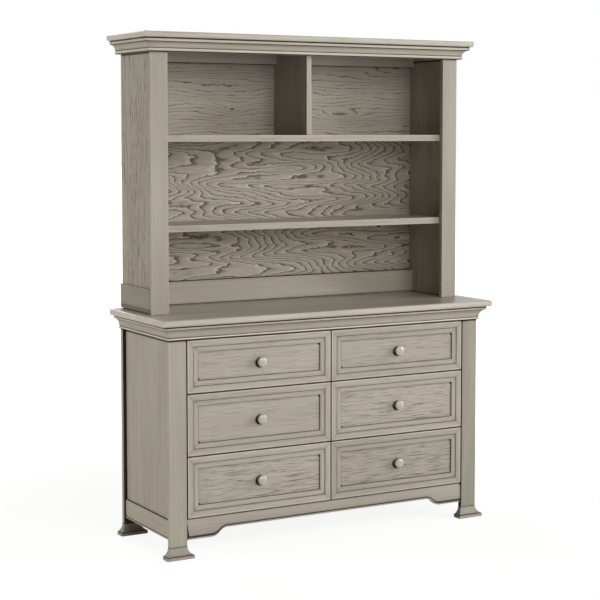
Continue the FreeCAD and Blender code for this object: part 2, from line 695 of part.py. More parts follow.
def shelf(z):
    half = HUTCH_PANEL_X - SHELF_CLEARANCE
    return block(-half, half, SHELF_Y, HUTCH_BACK_Y - SHELF_CLEARANCE, z, z + SHELF_THICK)


def shelf_divider():
    """Upright board on the upper shelf, notched round the high back rail."""
    half = DIVIDER_THICK / 2.0
    low = TOP_Z + UPPER_SHELF_HEIGHT + SHELF_THICK
    return block(-half, half, SHELF_Y, HUTCH_BACK_Y, low, HUTCH_TOP_BOTTOM).cut(high_back_rail())


def plate_x():
    return HUTCH_PANEL_X + HUTCH_PANEL_THICK / 2.0


def plate_screws():
    """Four countersunk screws of the right plate: two in the back post, two in the hutch side."""
    low, high = TOP_Z - PLATE_BELOW + PLATE_SCREW_EDGE, TOP_Z + PLATE_ABOVE - PLATE_SCREW_EDGE
    screws = []
    for z in (low, low + PLATE_SCREW_STEP, high - PLATE_SCREW_STEP, high):
        outer = vec(plate_x(), BACK_Y + PLATE_THICK, z)
        shank = Part.makeCylinder(PLATE_SCREW_RADIUS, PLATE_SCREW_LENGTH, outer, vec(0, -1, 0))
        head = Part.makeCone(PLATE_SCREW_HEAD_RADIUS, PLATE_SCREW_RADIUS, PLATE_THICK, outer, vec(0, -1, 0))
        screws.append(shank.fuse(head).removeSplitter())
    return screws


def joining_plates():
    plate = block(plate_x() - PLATE_WIDTH / 2.0, plate_x() + PLATE_WIDTH / 2.0, BACK_Y, BACK_Y + PLATE_THICK,
                  TOP_Z - PLATE_BELOW, TOP_Z + PLATE_ABOVE)
    screws = plate_screws()
    for screw in screws:
        plate = plate.cut(screw)
    right = [plate] + screws
    return right + [mirrored(shape) for shape in right]


def rear_post():
    """Back post, with the holes of the joining plate's lower screws."""
    board = post(REAR_POST_Y)
    for screw in plate_screws():
        board = board.cut(screw)
    return board


def hutch_top():
    return rounded_top(HALF_HUTCH + HUTCH_TOP_OVERHANG, HUTCH_Y - HUTCH_TOP_OVERHANG, HUTCH_TOP_BOTTOM,
                       HUTCH_TOP_THICK, HUTCH_TOP_UPPER_ROUND, HUTCH_TOP_LOWER_ROUND)


def dresser_top():
    return rounded_top(HALF_CASE + TOP_OVERHANG, FRONT_Y - TOP_OVERHANG, TOP_BOTTOM, TOP_THICK,
                       TOP_UPPER_ROUND, TOP_LOWER_ROUND)


# ---------------------------------------------------------------- the whole piece

def paired(name, shape):
    """A piece on the right and its mirror image on the left."""
    return {name + "_right": [shape], name + "_left": [mirrored(shape)]}


def case_nodes():
    nodes = {"feet": feet(), "side_rails": side_rails(), "front_apron": [front_apron()]}
    nodes.update(paired("post_front", post(FRONT_Y)))
    nodes.update({"back_posts": [rear_post(), mirrored(rear_post())]})
    nodes.update(paired("side_panel", side_panel()))
    nodes.update({"cross_rails": cross_rails(), "base_panel": [base_panel()]})
    nodes.update({"centre_partition": [centre_partition()], "dresser_back": [dresser_back()]})
    nodes.update({"runner_rails": runner_rails(), "case_slides": case_slides()})
    nodes.update({"dresser_top": [dresser_top()], "top_moulding": top_moulding()})
    return nodes


def drawer_nodes():
    nodes = {}
    for row in FRONT_HEIGHTS:
        pieces = {
            "drawer_front": drawer_front(row),
            "drawer_box": drawer_box(row),
            "drawer_knob": drawer_knob(row),
            "drawer_slides": slide_pair(row, "inner"),
            "middle_slides": slide_pair(row, "middle"),
        }
        for name, solids in pieces.items():
            nodes[f"{name}_{row}_right"] = solids
            nodes[f"{name}_{row}_left"] = [mirrored(solid) for solid in solids]
    return nodes


def hutch_nodes():
    lower_z, upper_z = shelf_heights()
    pins = right_pins()
    nodes = {"lower_shelf": [shelf(lower_z)], "upper_shelf": [shelf(upper_z)]}
    nodes.update(paired("hutch_stile", stile()))
    nodes.update(paired("hutch_side", hutch_side()))
    nodes.update({"hutch_side_rails": hutch_side_rails(), "hutch_cross_rails": hutch_cross_rails()})
    nodes.update({"hutch_back": [hutch_back()], "shelf_divider": [shelf_divider()]})
    nodes.update({"shelf_pins": pins + [mirrored(pin) for pin in pins], "hutch_top": [hutch_top()]})
    nodes.update({"crown_moulding": crown_moulding(), "joining_plates": joining_plates()})
    return nodes


def main():
    os.makedirs("parts", exist_ok=True)
    nodes = {**case_nodes(), **drawer_nodes(), **hutch_nodes()}
    for name, solids in nodes.items():
        for solid in solids:
            if not solid.isValid() or solid.Volume <= 0:
                raise ValueError(name + " holds a solid that isn't valid")
        shape = solids[0] if len(solids) == 1 else group(solids)
        shape.exportStep(os.path.join("parts", name + ".step"))
    print(len(nodes), "nodes")


main()
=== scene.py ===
import math
from dataclasses import dataclass

import bmesh
import bpy
import numpy as np
from bpy.props import FloatProperty, FloatVectorProperty, PointerProperty
from mathutils import Euler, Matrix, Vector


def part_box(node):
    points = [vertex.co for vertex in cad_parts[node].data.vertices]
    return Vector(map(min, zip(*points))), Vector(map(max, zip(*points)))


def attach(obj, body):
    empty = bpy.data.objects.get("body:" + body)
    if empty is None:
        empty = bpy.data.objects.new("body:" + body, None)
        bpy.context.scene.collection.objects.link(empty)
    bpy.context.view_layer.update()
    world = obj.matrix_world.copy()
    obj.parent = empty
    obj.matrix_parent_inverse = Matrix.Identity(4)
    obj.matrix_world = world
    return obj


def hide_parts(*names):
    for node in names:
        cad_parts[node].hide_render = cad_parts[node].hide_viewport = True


bl_info = {
    "name": "Dresser with hutch",
    "version": (1, 0, 0),
    "blender": (4, 5, 0),
    "location": "View3D > Sidebar > Dresser",
    "description": "Finished boards, drawers and mouldings of a dresser with a hutch, and a plain stage",
    "category": "Add Mesh",
}

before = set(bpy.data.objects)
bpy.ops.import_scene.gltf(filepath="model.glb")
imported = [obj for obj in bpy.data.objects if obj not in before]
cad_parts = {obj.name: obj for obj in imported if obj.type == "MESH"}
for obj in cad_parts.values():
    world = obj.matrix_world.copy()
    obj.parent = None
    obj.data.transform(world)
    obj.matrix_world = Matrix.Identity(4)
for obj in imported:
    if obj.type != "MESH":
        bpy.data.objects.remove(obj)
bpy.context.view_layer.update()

ROWS = ("lower", "middle", "upper")
SIDES = ("right", "left")
X, Y, Z = 0, 1, 2
REACH = 0.010           # how far from a joint its distance is kept
FADE = 0.0025           # how far from an edge its wear fades out
SMOOTH_ANGLE = math.radians(34)


# ---------------------------------------------------------------- what a user would change

def length(name, text, default):
    return FloatProperty(name=name, description=text, default=default, min=0.0, unit="LENGTH", precision=4)


def colour(name, text, default):
    return FloatVectorProperty(name=name, description=text, default=default, size=3, min=0.0, max=1.0,
                               subtype="COLOR")


def power(name, text, default):
    return FloatProperty(name=name, description=text, default=default, min=0.0, unit="POWER")


class DresserSizes(bpy.types.PropertyGroup):
    edge: length("Sanded edge", "Radius of the edges of a board", 0.0012)
    box_edge: length("Box edge", "Radius of the edges of the drawer boxes", 0.002)
    top_upper: length("Top, upper round", "Radius of the upper edge of the dresser top", 0.007)
    top_lower: length("Top, lower round", "Radius of the lower edge of the dresser top", 0.009)
    hutch_upper: length("Hutch top, upper round", "Radius of the upper edge of the hutch top", 0.006)
    hutch_lower: length("Hutch top, lower round", "Radius of the lower edge of the hutch top", 0.008)
    frame_width: length("Drawer frame", "Width of the moulded frame of a drawer front", 0.0445)
    frame_flat: length("Frame flat", "Width of the flat outside the quirk", 0.024)
    quirk: length("Quirk", "Width of the quirk in the frame", 0.0016)
    quirk_depth: length("Quirk depth", "Depth of the quirk in the frame", 0.0022)
    slope_set: length("Slope set", "Depth of the slope's outer edge behind the flat", 0.0014)
    lip_set: length("Lip set", "Depth of the frame's lip behind its flat", 0.0028)
    lip_width: length("Lip width", "Width of the lip round the panel", 0.0016)
    panel_set: length("Panel set", "Depth of the panel behind the flat of the frame", 0.007)
    panel_tongue: length("Panel tongue", "Width of the panel's edge behind the frame", 0.006)
    box_wall: length("Box wall", "Thickness of the walls of a drawer box", 0.012)
    box_floor: length("Box floor", "Thickness of the floor of a drawer box", 0.005)
    box_floor_rise: length("Floor rise", "Height of the floor above the lower edge of a box", 0.008)
    knob_reach: length("Knob reach", "How far a knob stands out of its panel", 0.027)
    knob_neck: length("Knob neck", "Radius of a knob's neck", 0.0085)
    knob_foot: length("Knob foot", "Radius of a knob's foot", 0.013)
    foot_flare: length("Foot flare", "How far a foot spreads from its post", 0.020)
    foot_block: length("Foot block", "Height of the square block of a foot", 0.013)
    foot_step: length("Foot step", "Width of the step on top of the block", 0.003)
    apron_low: length("Apron ends", "Height of the lower edge of the apron at its ends", 0.063)
    apron_high: length("Apron middle", "Height of the lower edge of the apron in the middle", 0.092)
    apron_end: length("Apron end length", "Length of the level ends of the apron", 0.100)
    apron_ogee: length("Apron ogee", "Length of the ogee of the apron", 0.065)
    bead: length("Bead", "Height of the bead along the lower edges", 0.007)
    bead_out: length("Bead out", "How far the bead stands out", 0.0015)


class DresserFinish(bpy.types.PropertyGroup):
    ash: colour("Ash", "Stain on the flat wood", (0.508, 0.466, 0.390))
    ash_dark: colour("Ash, dark grain", "Stain in the late wood", (0.150, 0.130, 0.098))
    ash_warm: colour("Ash, warm", "Warm drift of the stain", (0.529, 0.462, 0.396))
    ash_cool: colour("Ash, cool", "Cool drift of the stain", (0.487, 0.472, 0.384))
    # the glaze colour also paints shade: in the gaps, under the mouldings and tops, round each knob and on its back
    glaze: colour("Glaze", "Dark glaze that stays in joints and quirks", (0.022, 0.018, 0.013))
    box_wood: colour("Box wood", "Lacquered wood of the drawer boxes", (0.560, 0.460, 0.330))
    box_grain: colour("Box grain", "Grain of the drawer boxes", (0.380, 0.280, 0.170))
    inner_wood: colour("Inner wood", "Bare wood inside the case", (0.480, 0.400, 0.290))
    inner_grain: colour("Inner grain", "Grain of the bare wood", (0.310, 0.230, 0.140))
    back_board: colour("Back board", "Plain board that closes the case", (0.300, 0.235, 0.165))
    steel: colour("Steel", "Plated steel", (0.360, 0.365, 0.370))
    wear: FloatProperty(name="Worn edges", description="How much lighter the sanded edges are", default=0.22,
                        min=0.0)


class DresserStage(bpy.types.PropertyGroup):
    place: FloatVectorProperty(name="Camera place", description="Where the camera stands", size=3,
                               default=(-3.0059, -5.2248, 1.5244), subtype="TRANSLATION", unit="LENGTH")
    heading: FloatProperty(name="Heading", description="Turn of the camera to the right", unit="ROTATION",
                           default=math.radians(29.714))
    tilt: FloatProperty(name="Tilt", description="Turn of the camera downwards", unit="ROTATION", default=0.075)
    lens: FloatProperty(name="Lens", description="Focal length in millimetres", default=94.58, min=1.0)
    shift: FloatProperty(name="Shift", description="Upright shift of the lens", default=-0.0824)
    front: power("Front light", "Power of the lamp in front", 222.0)
    key: power("Key light", "Power of the lamp at the front right", 50.0)
    right: power("Right light", "Power of the low lamp at the right", 290.0)
    left: power("Left light", "Power of the lamp at the left, a little behind", 262.0)
    back: power("Back light", "Power of the lamp behind", 150.0)
    left_tint: colour("Left light, colour", "Colour of the lamp at the left", (1.0, 0.955, 0.885))
    far: length("Lamp distance", "How far the lamps stand from the middle of the floor", 8.0)
    spread: length("Lamp size", "Side of the square lamps", 4.0)
    sky: FloatProperty(name="Surroundings", description="Strength of the light from all sides", default=0.004,
                       min=0.0)


def sizes():
    return bpy.context.scene.dresser_sizes


def finish():
    return bpy.context.scene.dresser_finish


def stage():
    return bpy.context.scene.dresser_stage


# ---------------------------------------------------------------- closed surfaces

@dataclass
class Shell:
    """One closed surface: points, faces, and for each point its place in the grain, its distance from the
    nearest joint or quirk, and how dark and how figured the wood is."""
    points: np.ndarray
    faces: list
    grain: np.ndarray
    rim: np.ndarray
    tone: float = 0.0       # or one value a point
    figure: float = 1.0     # or one value a point


def span(node):
    low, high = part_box(node)
    return np.array(low), np.array(high)


def grain_shift(seed):
    """A far-off place in the grain for each board: seed times three irrational numbers, whole parts dropped."""
    return np.modf(seed * np.array([0.6180340, 0.4142136, 0.7320508]))[0] * np.array([9.0, 5.0, 5.0])


def tube_faces(count, around):
    """Quads between neighbouring closed sections, and a face over each end."""
    index = np.arange(count * around).reshape(count, around)
    near, far = index[:-1], index[1:]
    quads = np.stack([near, np.roll(near, -1, 1), np.roll(far, -1, 1), far], -1).reshape(-1, 4)
    return quads.tolist() + [index[0].tolist(), index[-1][::-1].tolist()]


def joint_distance(points, joints):
    """Distance from the nearest joint plane, given as (axis, place), no more than REACH."""
    gaps = [np.abs(points[..., axis] - place) for axis, place in joints]
    return np.minimum.reduce(gaps + [np.full(points.shape[:-1], REACH)])


def joint_marks(joints, cuts, axis, low, high):
    """Places along an axis where a loop is needed: at each cut and joint plane, and at REACH beside a joint."""
    places = [place + step for at, place in joints if at == axis for step in (-REACH, 0.0, REACH)]
    places += [place for at, place in cuts if at == axis]
    return sorted({round(place, 6) for place in places if low + 1e-4 < place < high - 1e-4})


def board(low, high, along, joints=(), seed=0, tone=0.0, figure=1.0, edge=None, cuts=(), near=0.0):
    """A board with sanded edges between two corners, its grain along one axis.

    Section: a rectangle drawn in by the edge's radius, plus that radius times (cos, sin) of an angle that
    turns a quarter at each corner. At each end the radius shrinks as the cosine of an angle while the section
    moves by its sine. The rounded edges are a little lighter than the faces. near is added to the distance
    from the joints, so that they take less glaze."""
    low, high = np.array(low, float), np.array(high, float)
    size = high - low
    radius = min(sizes().edge if edge is None else edge, 0.3 * size.min())
    wide, deep = (along + 1) % 3, (along + 2) % 3
    half_wide, half_deep = size[wide] / 2.0 - radius, size[deep] / 2.0 - radius
    middle = (low + high) / 2.0

    turn = np.radians([0.0, 30.0, 60.0, 90.0])
    cuts = list(cuts)
    for axis in (along, wide, deep):
        if size[axis] > 3.0 * (radius + FADE):
            cuts += [(axis, low[axis] + radius + FADE), (axis, high[axis] - radius - FADE)]
    wide_marks = np.array(joint_marks(joints, cuts, wide, low[wide] + radius, high[wide] - radius)) - middle[wide]
    deep_marks = np.array(joint_marks(joints, cuts, deep, low[deep] + radius, high[deep] - radius)) - middle[deep]
    loops, worn = [], []
    for quarter, (side_w, side_d) in enumerate(((1, 1), (-1, 1), (-1, -1), (1, -1))):
        angle = turn + quarter * math.pi / 2.0
        corner = np.stack([np.full(4, side_w * half_wide), np.full(4, side_d * half_deep), np.cos(angle),
                           np.sin(angle)], -1)
        if quarter % 2 == 0:
            run = wide_marks[::-1] if quarter == 0 else wide_marks
            side = np.stack([run, np.full(len(run), side_d * half_deep), 0 * run, side_d + 0 * run], -1)
        else:
            run = deep_marks[::-1] if quarter == 1 else deep_marks
            side = np.stack([np.full(len(run), side_w * half_wide), run, side_w + 0 * run, 0 * run], -1)
        loops += [corner, side.reshape(-1, 4)]
        worn += [np.ones(4), np.zeros(len(side))]
    section, worn = np.concatenate(loops), np.concatenate(worn)

    ends = np.radians([86.0, 58.0, 29.0, 0.0])
    inset = radius * (1.0 - np.sin(ends) / math.sin(ends[0]))
    marks = np.array(joint_marks(joints, cuts, along, low[along] + radius, high[along] - radius))
    places = np.concatenate([low[along] + inset, marks, high[along] - inset[::-1]])
    radii = np.concatenate([radius * np.cos(ends), np.full(len(marks), radius), radius * np.cos(ends[::-1])])

    points = np.empty((len(places), len(section), 3))
    points[..., along] = places[:, None]
    points[..., wide] = middle[wide] + section[:, 0] + radii[:, None] * section[:, 2]
    points[..., deep] = middle[deep] + section[:, 1] + radii[:, None] * section[:, 3]
    if size[wide] < size[deep]:
        wide, deep = deep, wide
    grain = points[..., [along, wide, deep]] - low[[along, wide, deep]] + grain_shift(seed)
    ending = np.ones(len(places))
    ending[len(ends):len(ends) + len(marks)] = 0.0
    tones = tone + finish().wear * np.maximum(worn[None, :], ending[:, None])
    return Shell(points.reshape(-1, 3), tube_faces(len(places), len(section)), grain.reshape(-1, 3),
                 joint_distance(points, joints).reshape(-1) + near, tones.reshape(-1), figure)


def carried(section, origins, outs, ups, rim=None, station_rim=None, seed=0, tone=0.0, figure=1.0):
    """A closed section carried along a path.

    Each point is origin + out * first coordinate + up * second coordinate of the section. The grain runs
    along the path. rim and station_rim are the distances from a quirk in the section and from a mitre. tone
    is one value, or one for each point of the section."""
    section, origins, outs, ups = (np.array(values, float) for values in (section, origins, outs, ups))
    points = (origins[:, None] + outs[:, None] * section[None, :, :1] + ups[:, None] * section[None, :, 1:])
    run = origins[-1] - origins[0]
    run /= np.linalg.norm(run)
    up = ups[0] / np.linalg.norm(ups[0])
    frame_axes = np.stack([run, up, np.cross(run, up)])
    grain = points @ frame_axes.T + grain_shift(seed)
    rim = np.full(len(section), REACH) if rim is None else np.minimum(rim, REACH)
    station_rim = np.full(len(origins), REACH) if station_rim is None else np.array(station_rim, float)
    return Shell(points.reshape(-1, 3), tube_faces(len(origins), len(section)), grain.reshape(-1, 3),
                 np.minimum(rim[None, :], station_rim[:, None]).reshape(-1),
                 np.broadcast_to(tone, points.shape[:2]).reshape(-1), figure)


def wrapped_block(low, high, profile, grain_axes=(X, Y, Z), rim_heights=(), seed=0, tone=0.0, figure=1.0):
    """A block with a moulded edge on its front and sides, flat at the back.

    low and high are the corners of the plan inside the edge. Each point is a plan corner moved outwards by
    the profile's first coordinate, at the height of its second. tone is one value, or one for each point of
    the profile."""
    profile = np.array(profile, float)
    corners = np.array([(low[0], high[1]), (low[0], low[1]), (high[0], low[1]), (high[0], high[1])])
    outwards = np.array([(-1, 0), (-1, -1), (1, -1), (1, 0)])
    points = np.empty((4, len(profile), 3))
    points[..., :2] = corners[:, None] + outwards[:, None] * profile[None, :, :1]
    points[..., 2] = profile[:, 1]
    index = np.arange(points.shape[0] * points.shape[1]).reshape(points.shape[:2])
    quads = np.stack([index[:-1, :-1], index[:-1, 1:], index[1:, 1:], index[1:, :-1]], -1).reshape(-1, 4)
    faces = quads.tolist() + [index[:, 0].tolist(), index[:, -1][::-1].tolist(),
                              np.concatenate([index[0], index[3][::-1]]).tolist()]
    grain = points[..., list(grain_axes)] + grain_shift(seed)
    joints = [(Z, height) for height in rim_heights]
    return Shell(points.reshape(-1, 3), faces, grain.reshape(-1, 3), joint_distance(points, joints).reshape(-1),
                 np.broadcast_to(tone, points.shape[:2]).reshape(-1), figure)


def turned(profile, centre, seed=0, tone=0.0, figure=1.0, around=48, painted_shade_to=-1.0):
    """A turned form about an axis along Y: each point is the centre, plus the profile's radius times
    (cos, sin) of the turning angle, and the profile's reach towards the front. Dark glaze covers it up to
    the reach glazed_to."""
    profile = np.array(profile, float)
    angle = np.arange(around) / around * 2.0 * math.pi + 0.02
    points = np.empty((len(profile), around, 3))
    points[..., 0] = centre[0] + profile[:, :1] * np.cos(angle)
    points[..., 1] = centre[1] - profile[:, 1:]
    points[..., 2] = centre[2] + profile[:, :1] * np.sin(angle)
    grain = points - np.array(centre) + grain_shift(seed)
    return Shell(points.reshape(-1, 3), tube_faces(len(profile), around), grain.reshape(-1, 3),
                 np.repeat(np.where(profile[:, 1] < painted_shade_to, 0.0, REACH), around), tone, figure)


def arc(start, through, end, steps=10):
    """Points on the circle through three points: its centre lies as far from all three."""
    a, b, c = (np.array(point, float) for point in (start, through, end))
    rows = 2.0 * np.array([b - a, c - a])
    centre = np.linalg.solve(rows, np.array([b @ b - a @ a, c @ c - a @ a]))
    first, mid, last = (math.atan2(*(point - centre)[::-1]) for point in (a, b, c))
    sweep = (last - first) % (2.0 * math.pi)
    if (mid - first) % (2.0 * math.pi) > sweep:
        sweep -= 2.0 * math.pi
    angle = first + np.linspace(0.0, 1.0, steps + 1) * sweep
    return centre + np.linalg.norm(a - centre) * np.stack([np.cos(angle), np.sin(angle)], -1)


def eased(points, radii, steps=3):
    """A closed outline with its corners rounded: each corner V becomes the curve
    (1 - t)^2 A + 2 t (1 - t) V + t^2 B, where A and B lie at the radius from V on its two sides."""
    points = np.array(points, float)
    radii = np.broadcast_to(np.array(radii, float), len(points))
    back, ahead = np.roll(points, 1, 0) - points, np.roll(points, -1, 0) - points
    back_length, ahead_length = (np.linalg.norm(side, axis=1, keepdims=True) for side in (back, ahead))
    reach = np.minimum(radii[:, None], 0.45 * np.minimum(back_length, ahead_length))
    start, end = points + back / back_length * reach, points + ahead / ahead_length * reach
    t = np.linspace(0.0, 1.0, steps + 1)[None, :, None]
    curve = (1 - t) ** 2 * start[:, None] + 2 * t * (1 - t) * points[:, None] + t ** 2 * end[:, None]
    keep = np.ones((len(points), steps + 1), bool)
    keep[radii <= 0.0, 1:] = False
    return curve[keep]


def mirror_x(shell):
    """The same surface on the other side of the centre plane."""
    points = shell.points * np.array([-1.0, 1.0, 1.0])
    grain = shell.grain + grain_shift(shell.points.shape[0] + 0.5)
    return Shell(points, shell.faces, grain, shell.rim, shell.tone, shell.figure)


def make_piece(name, shells, material, body, nodes=(), flats=True):
    """Puts the shells into one mesh with their attributes; it rides on a body and stands for its nodes."""
    counts = [len(shell.points) for shell in shells]
    starts = np.concatenate([[0], np.cumsum(counts)[:-1]])
    faces = [[index + start for index in face] for shell, start in zip(shells, starts.tolist())
             for face in shell.faces]
    mesh = bpy.data.meshes.new(name)
    mesh.from_pydata(np.concatenate([shell.points for shell in shells]), [], faces)
    work = bmesh.new()
    work.from_mesh(mesh)
    bmesh.ops.recalc_face_normals(work, faces=work.faces)
    work.to_mesh(mesh)
    work.free()
    values = {
        "grain": ("FLOAT_VECTOR", "vector", np.concatenate([shell.grain for shell in shells])),
        "rim": ("FLOAT", "value", np.concatenate([shell.rim for shell in shells])),
        "tone": ("FLOAT", "value", np.concatenate([np.broadcast_to(shell.tone, count)
                                                   for shell, count in zip(shells, counts)])),
        "figure": ("FLOAT", "value", np.concatenate([np.broadcast_to(shell.figure, count)
                                                     for shell, count in zip(shells, counts)])),
    }
    for label, (kind, field, data) in values.items():
        mesh.attributes.new(label, kind, "POINT").data.foreach_set(field, data.astype(np.float32).ravel())
    mesh.shade_smooth()
    mesh.set_sharp_from_angle(angle=SMOOTH_ANGLE)
    if flats:
        normals = np.empty(len(mesh.polygons) * 3, np.float32)
        mesh.polygons.foreach_get("normal", normals)
        square = np.abs(normals.reshape(-1, 3)).max(1) > 0.99999
        mesh.polygons.foreach_set("use_smooth", ~square)
    mesh.materials.append(material)
    mesh.update()
    piece = bpy.data.objects.new(name, mesh)
    bpy.context.scene.collection.objects.link(piece)
    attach(piece, body)
    if nodes:
        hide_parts(*nodes)
    return piece


# ---------------------------------------------------------------- materials

class Shader:
    """Short names for the nodes of one material or of the world."""

    def __init__(self, owner):
        self.owner = owner
        owner.use_nodes = True
        self.tree = owner.node_tree
        self.tree.nodes.clear()

    def node(self, kind, inputs=(), **settings):
        made = self.tree.nodes.new(kind)
        for key, value in settings.items():
            setattr(made, key, value)
        for key, value in dict(inputs).items():
            if isinstance(value, bpy.types.NodeSocket):
                self.tree.links.new(value, made.inputs[key])
            else:
                made.inputs[key].default_value = value
        return made

    def math(self, operation, first, second=0.0, clamp=False):
        return self.node("ShaderNodeMath", {0: first, 1: second}, operation=operation, use_clamp=clamp).outputs[0]

    def add(self, first, second):
        return self.math("ADD", first, second)

    def times(self, first, second):
        return self.math("MULTIPLY", first, second)

    def ramp(self, value, low, high, to_low=0.0, to_high=1.0):
        inputs = {"Value": value, "From Min": low, "From Max": high, "To Min": to_low, "To Max": to_high}
        return self.node("ShaderNodeMapRange", inputs, interpolation_type="SMOOTHSTEP").outputs["Result"]

    def stretched(self, vector, scale):
        return self.node("ShaderNodeVectorMath", {0: vector, 1: scale}, operation="MULTIPLY").outputs[0]

    def noise(self, vector, detail=2.0, roughness=0.5, distortion=0.0):
        inputs = {"Vector": vector, "Scale": 1.0, "Detail": detail, "Roughness": roughness,
                  "Distortion": distortion}
        return self.node("ShaderNodeTexNoise", inputs).outputs[0]

    def mix(self, factor, first, second, blend="MIX"):
        made = self.node("ShaderNodeMix", {0: factor}, data_type="RGBA", blend_type=blend)
        for slot, value in ((6, first), (7, second)):
            if isinstance(value, bpy.types.NodeSocket):
                self.tree.links.new(value, made.inputs[slot])
            else:
                made.inputs[slot].default_value = (*value, 1.0)
        return made.outputs[2]

    def attribute(self, name):
        return self.node("ShaderNodeAttribute", attribute_name=name)

    def output(self, surface, kind="ShaderNodeOutputMaterial"):
        self.node(kind, {"Surface": surface})
        return self.owner


def new_shader(name):
    return Shader(bpy.data.materials.new(name))


def board_grain(shader, grain_axis=None):
    """Place in the grain: the piece's own attribute, or Object coordinates turned so the grain runs along X."""
    if grain_axis is None:
        return shader.attribute("grain").outputs["Vector"]
    place = shader.node("ShaderNodeTexCoord").outputs["Object"]
    turn = {X: (0.0, 0.0, 0.0), Y: (0.0, 0.0, -math.pi / 2.0), Z: (0.0, math.pi / 2.0, 0.0)}[grain_axis]
    return shader.node("ShaderNodeMapping", {"Vector": place, "Rotation": turn}).outputs[0]


@dataclass
class Figure:
    """Figure of a board: distances in metres, depths from 0 to 1."""
    pitch: float            # distance between rings, across the grain
    swing: float            # how many rings the broad waves move them
    reach: float            # length of a wave along the grain
    breadth: float          # width of a wave across the grain
    rings: float            # how dark the rings are
    line: float = 0.20      # width of the dark line of a ring, in rings
    fill: float = 0.5       # how much of the darkness lies in the band beside the line
    lime: float = 0.0       # how much lighter the wood is where a ring ends
    lead: float = 0.0       # rings met in a metre along the grain, which turns waves into flames
    ragged: float = 0.0     # how many rings the small jags move them
    broken: float = 0.0     # how far the rings break up into dashes
    streaks: float = 0.12   # how dark the fine streaks are
    pores: float = 0.10     # how dark the pores are
    pore: tuple = (0.030, 0.0016)
    knots: tuple = ()       # (place, length and width, rings) of each knot


def ring_shade(shader, place, figure):
    """Rings: the whole parts of (distance across / pitch + lead * distance along + swing * broad noise
    + ragged * small noise + knots) are dropped, and each ring is darkest where it starts. Where a ring ends
    the shade may fall below 0, which is lighter than the plain stain. The heart of a knot is dark."""
    apart = shader.node("ShaderNodeSeparateXYZ", {0: place}).outputs
    broad = shader.noise(shader.stretched(place, (1 / figure.reach, 1 / figure.breadth, 1 / figure.breadth)),
                         1.0, 0.45)
    field = shader.add(shader.times(apart[1], 1.0 / figure.pitch), shader.times(broad, figure.swing))
    if figure.lead:
        field = shader.add(field, shader.times(apart[0], figure.lead))
    if figure.ragged:
        small = shader.noise(shader.stretched(place, (22.0, 70.0, 70.0)), 2.0, 0.55)
        field = shader.add(field, shader.times(small, figure.ragged))
    cores = []
    for knot_place, knot_size, knot_rings in figure.knots:
        centred = shader.node("ShaderNodeVectorMath", {0: place, 1: knot_place}, operation="SUBTRACT").outputs[0]
        spread = shader.stretched(centred, (1 / knot_size[0], 1 / knot_size[1], 0.0))
        far = shader.node("ShaderNodeVectorMath", {0: spread}, operation="LENGTH").outputs["Value"]
        field = shader.add(field, shader.times(shader.math("EXPONENT", shader.times(far, -1.0)), knot_rings))
        cores.append(shader.ramp(far, 0.12, 0.42, 0.9, 0.0))
    ring = shader.math("FRACT", field)
    line = shader.ramp(ring, 0.06, 0.06 + figure.line, 1.0, 0.0)
    band = shader.math("POWER", shader.math("SUBTRACT", 1.0, ring), 1.6)
    shade = shader.add(shader.times(line, 1.0 - figure.fill), shader.times(band, figure.fill))
    if figure.broken:
        patches = shader.noise(shader.stretched(place, (11.0, 110.0, 110.0)), 1.5, 0.5)
        shade = shader.times(shade, shader.ramp(patches, 0.38, 0.60, 1.0 - figure.broken, 1.0))
    if figure.lime:
        shade = shader.add(shade, shader.ramp(ring, 0.80, 0.97, 0.0, -figure.lime))
    for core in cores:
        shade = shader.add(shade, core)
    return shade


